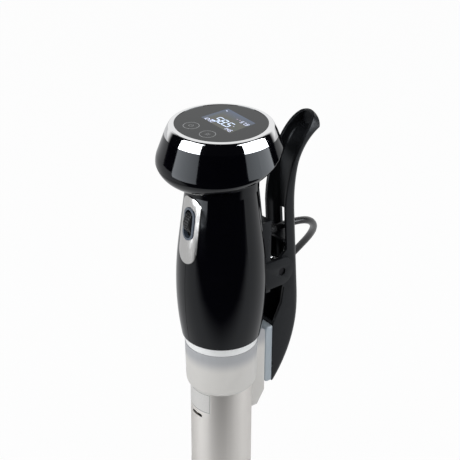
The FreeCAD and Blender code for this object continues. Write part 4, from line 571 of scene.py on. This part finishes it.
round_it = add_node(tree, "Math", {0: part.outputs[0], 1: front.outputs[0]}, operation="ARCTAN2")
middle = add_node(tree, "Math", {0: round_it.outputs[0],
                                 1: math.radians((PLATE_FROM + PLATE_TO) / 2)},
                  operation="SUBTRACT")
aside = add_node(tree, "Math", {0: middle.outputs[0]}, operation="ABSOLUTE")
along = add_node(tree, "Math", {0: aside.outputs[0], 1: TUBE_RADIUS,
                                2: BORDER_IN - HALF_ROUND},
                 operation="MULTIPLY_ADD")
rise = add_node(tree, "Math", {0: part.outputs[2], 1: (PLATE_LOW + PLATE_HIGH) / 2},
                operation="SUBTRACT")
upright = add_node(tree, "Math", {0: rise.outputs[0]}, operation="ABSOLUTE")
over = add_node(tree, "Math", {0: upright.outputs[0], 1: (PLATE_HIGH - PLATE_LOW) / 2 - BORDER_IN},
                operation="SUBTRACT")
border = add_node(tree, "Math", {0: along.outputs[0], 1: over.outputs[0]}, operation="MAXIMUM")
apart = add_node(tree, "Math", {0: border.outputs[0]}, operation="ABSOLUTE")
printed = add_node(tree, "MapRange", {0: apart.outputs[0], 1: 0.00022, 2: 0.00012})
flecks = add_node(tree, "TexNoise", {"Vector": place, "Scale": 700.0, "Detail": 2.0})
ground = add_node(tree, "Mix", {0: flecks.outputs[0], 6: (0.60, 0.59, 0.57, 1.0),
                                7: (0.68, 0.67, 0.65, 1.0)}, data_type="RGBA")
colour = add_node(tree, "Mix", {0: printed.outputs[0], 6: ground.outputs[2],
                                7: (0.10, 0.10, 0.10, 1.0)}, data_type="RGBA")
tree.links.new(colour.outputs[2], shader.inputs["Base Color"])
plate.data.materials.append(silver)
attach(plate, "housing")


# ---------------------------------------------------------------- pump, heater and probes
# A moulded impeller on a long steel shaft, a bent tubular heater, a temperature probe and two level
# rods, all held from the bulkhead above them.

nylon = moulded("glass_filled_nylon", (0.44, 0.42, 0.38), (0.52, 0.50, 0.46), 0.46, 0.14, 1300.0,
                0.00006)
ground_steel = drawn_metal("ground_steel", (0.50, 0.50, 0.50), (0.62, 0.62, 0.63),
                           (900.0, 900.0, 200.0), 0.20, 0.12, 0.00002)
heater_skin = drawn_metal("heater_sheath", (0.42, 0.38, 0.34), (0.56, 0.53, 0.50),
                          (300.0, 300.0, 1200.0), 0.32, 0.2, 0.00003)
coat_nodes(nylon, "impeller", "shaft_coupling")
coat_nodes(ground_steel, "drive_shaft", "motor_shaft", "level_rods", "wheel_axle")
coat_nodes(heater_skin, "heater_element", "temperature_probe")


# ---------------------------------------------------------------- bulkhead and seals
# A nylon bulkhead closes the tube's top and keeps the water out of the grip. It has a moulded ring
# seal round it and a lip seal on the shaft; the panel's gasket is of the same rubber.

seal_rubber = moulded("seal_rubber", (0.016, 0.015, 0.015), (0.026, 0.025, 0.025), 0.55, 0.12,
                      1800.0, 0.00005)
coat_nodes(nylon, "bulkhead")
coat_nodes(seal_rubber, "bulkhead_seal", "shaft_seal", "panel_gasket")


# ---------------------------------------------------------------- pot clamp collar and trim ring
# A milky moulded collar with the fixed jaw slides up the tube to the body. A plated trim ring sits
# between the two. The body's end behind the milky wall is painted shade, darker above a height.

frosted = moulded("frosted_polypropylene", (0.60, 0.585, 0.56), (0.66, 0.645, 0.62), 0.34, 0.14,
                  900.0, 0.00003, Subsurface_Weight=0.35, Subsurface_Scale=0.003,
                  Subsurface_Radius=(1.0, 1.0, 1.0))
CLEAR_BELOW, SHADED_ABOVE = 0.180, 0.193
tree = frosted.node_tree
shader = tree.nodes["Principled BSDF"]
milk = shader.inputs["Base Color"].links[0].from_socket
place = tree.nodes["Texture Coordinate"].outputs["Object"]
part = add_node(tree, "SeparateXYZ", {0: place})
# Painted shade: above a height, the collar's colour is mixed to grey where the dark body stands
# behind the milky wall.
painted_shade_mask = add_node(tree, "MapRange", {0: part.outputs[2], 1: CLEAR_BELOW, 2: SHADED_ABOVE},
                       interpolation_type="SMOOTHSTEP")
milk_and_painted_shade = add_node(tree, "Mix", {0: painted_shade_mask.outputs[0], 6: milk, 7: (0.40, 0.405, 0.42, 1.0)},
                  data_type="RGBA")
tree.links.new(milk_and_painted_shade.outputs[2], shader.inputs["Base Color"])
eased_copy("clamp_collar", 0.0007, "housing", frosted, sharp=35.0)
plating = drawn_metal("satin_plating", (0.90, 0.905, 0.90), (0.95, 0.955, 0.95),
                      (200.0, 200.0, 900.0), 0.38, 0.08, 0.00001)
plating.node_tree.nodes["Principled BSDF"].inputs["Metallic"].default_value = 0.30
coat_nodes(plating, "trim_ring")


# ---------------------------------------------------------------- chassis, motor and boards
# A moulded chassis inside the body carries the motor on its pressed plate and the power board. The
# control board sits in the head. Both are green laminate with copper traces under the lacquer.

can = drawn_metal("rolled_steel_can", (0.50, 0.49, 0.47), (0.60, 0.59, 0.57), (60.0, 60.0, 2400.0),
                  0.28, 0.12, 0.00002)
pressed = drawn_metal("pressed_plate", (0.52, 0.51, 0.49), (0.62, 0.61, 0.59), (900.0, 60.0, 60.0),
                      0.30, 0.12, 0.00002)
coat_nodes(nylon, "chassis", "wheel_cradle")
coat_nodes(can, "motor", "capacitor")
coat_nodes(pressed, "motor_plate")
laminate, tree, shader, place = start_material("green_laminate", Roughness=0.34,
                                               Specular_IOR_Level=0.5)
cells = add_node(tree, "TexVoronoi", {"Vector": place, "Scale": 260.0, "Randomness": 0.35},
                 feature="DISTANCE_TO_EDGE")
trace = add_node(tree, "MapRange", {0: cells.outputs["Distance"], 1: 0.10, 2: 0.06})
weave = add_node(tree, "TexNoise", {"Vector": place, "Scale": 1200.0, "Detail": 2.0})
green = add_node(tree, "Mix", {0: weave.outputs[0], 6: (0.010, 0.075, 0.030, 1.0),
                               7: (0.016, 0.10, 0.042, 1.0)}, data_type="RGBA")
colour = add_node(tree, "Mix", {0: trace.outputs[0], 6: green.outputs[2],
                                7: (0.03, 0.17, 0.075, 1.0)}, data_type="RGBA")
tree.links.new(colour.outputs[2], shader.inputs["Base Color"])
raise_grain(tree, shader, trace.outputs[0], 0.4, 0.00004)
coat_nodes(laminate, "power_board", "control_board", "wheel_sensor")
dull_black = moulded("dull_black_moulding", (0.010, 0.010, 0.011), (0.018, 0.018, 0.019), 0.40,
                     0.14, 1500.0, 0.00005)
coat_nodes(dull_black, "relay", "buzzer", "display_module")


# ---------------------------------------------------------------- body shells and head
# Two half shells of gloss black plastic meet at a seam; the clamp bracket's screws pass through
# them into the chassis. The neck screws hold the head's bowl. Its dome is the same plastic.

gloss = moulded("gloss_black_shell", (0.0006, 0.0006, 0.0014), (0.0012, 0.0012, 0.0022), 0.07, 0.04,
                700.0, 0.000001, scratch=0.02, IOR=1.41, Specular_Tint=(0.93, 0.97, 1.0, 1.0))
coat_nodes(gloss, "body_shell_left", "body_shell_right", "head_base", "head_shell")


# ---------------------------------------------------------------- jog wheel and its bezel
# A plated long oval bezel is let into the body's front. In it, a smoked ring frames the opening of
# the knurled rubber jog wheel, which turns on a steel axle.

mirror = drawn_metal("bright_chrome", (0.80, 0.80, 0.80), (0.86, 0.86, 0.865), (90.0, 90.0, 90.0),
                     0.045, 0.03, 0.000001)
warm_chrome = drawn_metal("bezel_chrome", (0.64, 0.63, 0.615), (0.69, 0.68, 0.665),
                          (90.0, 90.0, 90.0), 0.15, 0.04, 0.000001)
eased_copy("wheel_bezel", 0.00035, "housing", warm_chrome, sharp=35.0)
smoked = moulded("smoked_ring", (0.055, 0.070, 0.095), (0.075, 0.095, 0.125), 0.14, 0.08, 900.0,
                 0.00001, Coat_Weight=0.6, Coat_Roughness=0.05)
coat_nodes(smoked, "wheel_trim")
tread = moulded("wheel_rubber", (0.006, 0.006, 0.0065), (0.012, 0.012, 0.013), 0.36, 0.16, 1500.0,
                0.00003)
coat_nodes(tread, "jog_wheel")


# ---------------------------------------------------------------- chrome ring and touch panel
# A polished ring tops the dome and frames a black glass touch panel. Behind the glass, a lit
# display shows plain figures over a dim window, and two printed keys are touched through it.

coat_nodes(mirror, "chrome_ring")
glass = moulded("smoked_panel_glass", (0.0012, 0.0018, 0.0020), (0.0020, 0.0026, 0.0030), 0.06,
                0.02, 500.0, 0.0000005, IOR=1.40, Specular_Tint=(0.94, 0.98, 1.0, 1.0))
coat_nodes(glass, "display_panel")
PANEL_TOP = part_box("display_panel")[1].z
SKIN = 0.00003
pick_nothing()
bpy.ops.mesh.primitive_plane_add(size=0.02, location=(0.0, 0.0, PANEL_TOP + SKIN))
window = finish_place(bpy.context.active_object)
window.name = "display_window"
WINDOW_CORNERS = {("left", "low"): (-0.0192, -0.0058), ("left", "high"): (-0.0197, 0.0223),
                  ("right", "high"): (0.0175, 0.0210), ("right", "low"): (0.0200, -0.0072)}
for vertex in window.data.vertices:
    corner = ("left" if vertex.co.x < 0 else "right", "low" if vertex.co.y < 0 else "high")
    vertex.co.x, vertex.co.y = WINDOW_CORNERS[corner]
pick_nothing()
window.select_set(True)
bpy.ops.object.mode_set(mode="EDIT")
bpy.ops.mesh.select_all(action="SELECT")
bpy.ops.mesh.bevel(offset=0.0006, segments=3, affect="VERTICES")
bpy.ops.mesh.extrude_region_move(TRANSFORM_OT_translate={"value": (0.0, 0.0, -SKIN * 0.9)})
bpy.ops.mesh.select_all(action="SELECT")
bpy.ops.mesh.normals_make_consistent(inside=False)
bpy.ops.object.mode_set(mode="OBJECT")
lit_glass, tree, shader, place = start_material("lit_display", Roughness=0.07,
                                                Emission_Strength=1.0)
part = add_node(tree, "SeparateXYZ", {0: place})
blotch = add_node(tree, "TexNoise", {"Vector": place, "Scale": 150.0, "Detail": 1.0})
to_top = add_node(tree, "MapRange", {0: part.outputs[1], 1: 0.010, 2: 0.022})
to_left = add_node(tree, "MapRange", {0: part.outputs[0], 1: -0.013, 2: -0.020})
edge_glow = add_node(tree, "Math", {0: to_top.outputs[0], 1: to_left.outputs[0]},
                     operation="MAXIMUM")
warm = add_node(tree, "Mix", {0: blotch.outputs[0], 6: (0.020, 0.042, 0.022, 1.0),
                              7: (0.062, 0.045, 0.036, 1.0)}, data_type="RGBA")
glow = add_node(tree, "Mix", {0: edge_glow.outputs[0], 6: warm.outputs[2],
                              7: (0.035, 0.062, 0.125, 1.0)}, data_type="RGBA")
tree.links.new(glow.outputs[2], shader.inputs["Emission Color"])
two_tone(tree, shader, blotch.outputs[0], (0.004, 0.005, 0.006), (0.008, 0.009, 0.012))
window.data.materials.append(lit_glass)
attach(window, "housing")


def glowing(name, colour, strength):
    """A mark that glows a little, with a slight drift of tone: a lit figure, or print with a
    painted glow.
    """
    finish, tree, shader, place = start_material(name, Roughness=0.12, Emission_Strength=strength)
    drift = add_node(tree, "TexNoise", {"Vector": place, "Scale": 260.0, "Detail": 1.0})
    tone = add_node(tree, "Mix", {0: drift.outputs[0], 6: tuple(c * 0.82 for c in colour) + (1.0,),
                                  7: colour + (1.0,)}, data_type="RGBA")
    tree.links.new(tone.outputs[2], shader.inputs["Emission Color"])
    tree.links.new(tone.outputs[2], shader.inputs["Base Color"])
    return finish


SHORTER = 1.15                        # the two points and a small gap, in weights


def bar(length, weight, thick=SKIN):
    """One display segment: a flat bar with pointed ends, lying along X about the origin."""
    pick_nothing()
    bpy.ops.mesh.primitive_cylinder_add(vertices=6, radius=weight / 2, depth=thick)
    made = bpy.context.active_object
    for vertex in made.data.vertices:
        vertex.co = Matrix.Rotation(math.radians(30.0), 3, "Z") @ vertex.co
        vertex.co.x += math.copysign((length - weight * SHORTER) / 2, vertex.co.x)
    return made


FIGURE_WIDE, FIGURE_LEAN = 0.56, 0.08                 # in heights, and across per height
DOT_LONG, DOT_GAP, FIGURE_GAP = 2.3, 1.3, 1.6         # in weights
DOT_BACK = 0.02                                       # in figure widths


def display_row(name, text, left, low, height, weight, finish):
    """A row of leaning figures in lit segments, a little over half as wide as high."""
    width = height * FIGURE_WIDE
    across = bar(width, weight)
    upright = bar(height / 2, weight)
    places = {"a": (across, width / 2, height), "g": (across, width / 2, height / 2),
              "d": (across, width / 2, 0.0), "f": (upright, 0.0, height * 0.75),
              "b": (upright, width, height * 0.75), "e": (upright, 0.0, height * 0.25),
              "c": (upright, width, height * 0.25)}
    lit = {"0": "abcdef", "1": "bc", "2": "abged", "3": "abgcd", "4": "fgbc", "5": "afgcd",
           "6": "afgedc", "7": "abc", "8": "abcdefg", "9": "abcdfg"}
    dot = bar(weight * DOT_LONG, weight)
    pieces = []
    for sign in text:
        if sign in ".:":
            for rise in ((0.0,) if sign == "." else (height * 0.3, height * 0.7)):
                copy = bpy.data.objects.new(name, dot.data.copy())
                copy.data.transform(Matrix.Translation((left - width * DOT_BACK, low + rise,
                                                        PANEL_TOP + 2 * SKIN)))
                pieces.append(copy)
            left += weight * DOT_GAP
            continue
        for key in lit[sign]:
            model, x, y = places[key]
            copy = bpy.data.objects.new(name, model.data.copy())
            turn = Matrix.Rotation(math.radians(90.0 if model is upright else 0.0), 4, "Z")
            lean = FIGURE_LEAN * (y - height / 2)
            copy.data.transform(Matrix.Translation((left + x + lean, low + y,
                                                    PANEL_TOP + 2 * SKIN)) @ turn)
            pieces.append(copy)
        left += width + weight * FIGURE_GAP
    for copy in pieces:
        bpy.context.scene.collection.objects.link(copy)
    pick_nothing()
    for copy in pieces:
        copy.select_set(True)
    bpy.context.view_layer.objects.active = pieces[0]
    bpy.ops.object.join()
    row = bpy.context.active_object
    row.name = name
    row.data.materials.clear()
    row.data.materials.append(finish)
    for model in (across, upright, dot):
        bpy.data.objects.remove(model)
    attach(row, "housing")
    return row


ice = glowing("lit_figures", (0.66, 0.78, 1.0), 0.78)
pale = glowing("lit_small_figures", (0.70, 0.76, 1.0), 0.55)
display_row("set_value", "58.5", -0.0094, -0.0016, 0.0082, 0.00105, ice)
display_row("time_left", "12:30", -0.0172, -0.0054, 0.0034, 0.00062, pale)
display_row("time_set", "1:45", 0.0092, -0.0058, 0.0034, 0.00062, pale)
display_row("water_value", "57.9", 0.0082, 0.0120, 0.0034, 0.00062, pale)


# Small lit marks: a unit mark by the set value and a few lamps along the window's top.
rose = glowing("lit_lamps", (0.42, 0.30, 0.40), 0.5)
for name, finish, x, y, long, weight in (("unit_mark", pale, 0.0117, 0.0034, 0.0016, 0.0006),
                                         ("lamp_left", pale, -0.0164, 0.0185, 0.0022, 0.0009),
                                         ("lamp_middle", rose, 0.0022, 0.0145, 0.0018, 0.0007),
                                         ("lamp_right", rose, 0.0056, 0.0145, 0.0018, 0.0007)):
    lamp_mark = bar(long, weight)
    lamp_mark.name = name
    lamp_mark.data.transform(Matrix.Translation((x, y, PANEL_TOP + 2 * SKIN)))
    lamp_mark.data.materials.append(finish)
    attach(lamp_mark, "housing")


# Touch keys: two printed rings under the glass, one round an on-off sign and one round a list sign.
# The key print glows a little: a painted glow, since print is no lamp.
print_with_painted_glow = glowing("printed_key_painted_glow", (0.20, 0.205, 0.21), 0.40)


def printed_ring(name, middle, radius, line, gap=0.0):
    """A flat printed ring; gap opens it at the top, in degrees each side."""
    pick_nothing()
    bpy.ops.mesh.primitive_torus_add(major_radius=radius, minor_radius=line / 2, major_segments=72,
                                     minor_segments=8, location=(middle[0], middle[1],
                                                                 PANEL_TOP + SKIN))
    ring = finish_place(bpy.context.active_object)
    ring.name = name
    for vertex in ring.data.vertices:
        vertex.co.z = PANEL_TOP + SKIN * 0.5 + (vertex.co.z - PANEL_TOP - SKIN) * 0.1
    if gap:
        bpy.context.tool_settings.mesh_select_mode = (False, False, True)
        for face in ring.data.polygons:
            way = math.degrees(math.atan2(face.center.x - middle[0], face.center.y - middle[1]))
            face.select = abs(way) < gap
        bpy.ops.object.mode_set(mode="EDIT")
        bpy.ops.mesh.delete(type="FACE")
        bpy.ops.mesh.select_all(action="SELECT")
        bpy.ops.mesh.fill_holes(sides=0)
        bpy.ops.object.mode_set(mode="OBJECT")
    return ring


def printed_bar(name, middle, length, line, turn):
    """A flat printed bar, turned about its middle in degrees."""
    made = bar(length, line, SKIN * 0.8)
    made.name = name
    made.data.transform(Matrix.Translation((middle[0], middle[1], PANEL_TOP + SKIN * 0.6)) @
                        Matrix.Rotation(math.radians(turn), 4, "Z"))
    return made


LEFT_KEY, RIGHT_KEY = (-0.0105, -0.0220), (0.0108, -0.0219)
KEY_RADIUS, KEY_LINE, SIGN_LINE = 0.0064, 0.00056, 0.00040
key_marks = [printed_ring("left_key_ring", LEFT_KEY, KEY_RADIUS, KEY_LINE),
             printed_ring("right_key_ring", RIGHT_KEY, KEY_RADIUS, KEY_LINE),
             printed_ring("on_off_ring", LEFT_KEY, 0.0019, SIGN_LINE, gap=35.0),
             printed_bar("on_off_bar", (LEFT_KEY[0], LEFT_KEY[1] + 0.0014), 0.0024, SIGN_LINE,
                         90.0)]
for count in (-1, 0, 1):
    key_marks.append(printed_bar("list_bar", (RIGHT_KEY[0], RIGHT_KEY[1] + 0.0013 * count), 0.0042,
                                 0.00045, 0.0))
for mark in key_marks:
    mark.data.materials.clear()
    mark.data.materials.append(print_with_painted_glow)
    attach(mark, "housing")


# ---------------------------------------------------------------- clamp bracket, lever and spring
# A moulded saddle screwed to the body's back has two ears with the hinge pin. The lever turns on
# the pin, its soft pad grips the pot wall, and a wire spring on the pin closes it.

satin_black = moulded("satin_black_nylon", (0.0060, 0.0065, 0.0078), (0.0092, 0.0098, 0.0115), 0.29,
                      0.10, 1100.0, 0.000006, scratch=0.05, IOR=1.36,
                      Specular_Tint=(0.93, 0.97, 1.0, 1.0))
eased_copy("clamp_bracket", 0.0005, "housing", satin_black, sharp=35.0)
eased_copy("clamp_lever", 0.0007, "lever", satin_black, sharp=35.0)
soft = moulded("soft_clear_rubber", (0.36, 0.41, 0.45), (0.41, 0.46, 0.50), 0.40, 0.12, 900.0,
               0.00003, Subsurface_Weight=0.4, Subsurface_Scale=0.002,
               Subsurface_Radius=(1.0, 1.0, 1.0))
eased_copy("jaw_pad", 0.0006, "lever", soft, sharp=35.0)
blued = drawn_metal("blackened_pin", (0.020, 0.020, 0.022), (0.035, 0.035, 0.038),
                    (300.0, 1200.0, 1200.0), 0.34, 0.12, 0.00001)
coat_nodes(blued, "hinge_pin")
wire = drawn_metal("bright_spring_wire", (0.70, 0.70, 0.69), (0.80, 0.80, 0.79),
                   (500.0, 500.0, 500.0), 0.16, 0.08, 0.000005)
coat_nodes(wire, "torsion_spring", "touch_springs")


# ---------------------------------------------------------------- screws
# Zinc-plated pan-head screws, turned and rolled, hold the boards, the motor, the neck and the
# bracket.

zinc = drawn_metal("zinc_plate", (0.55, 0.56, 0.56), (0.68, 0.69, 0.69), (700.0, 700.0, 700.0),
                   0.26, 0.12, 0.00001)
coat_nodes(zinc, "board_screws", "bracket_screws", "control_screws", "motor_screws", "neck_screws")
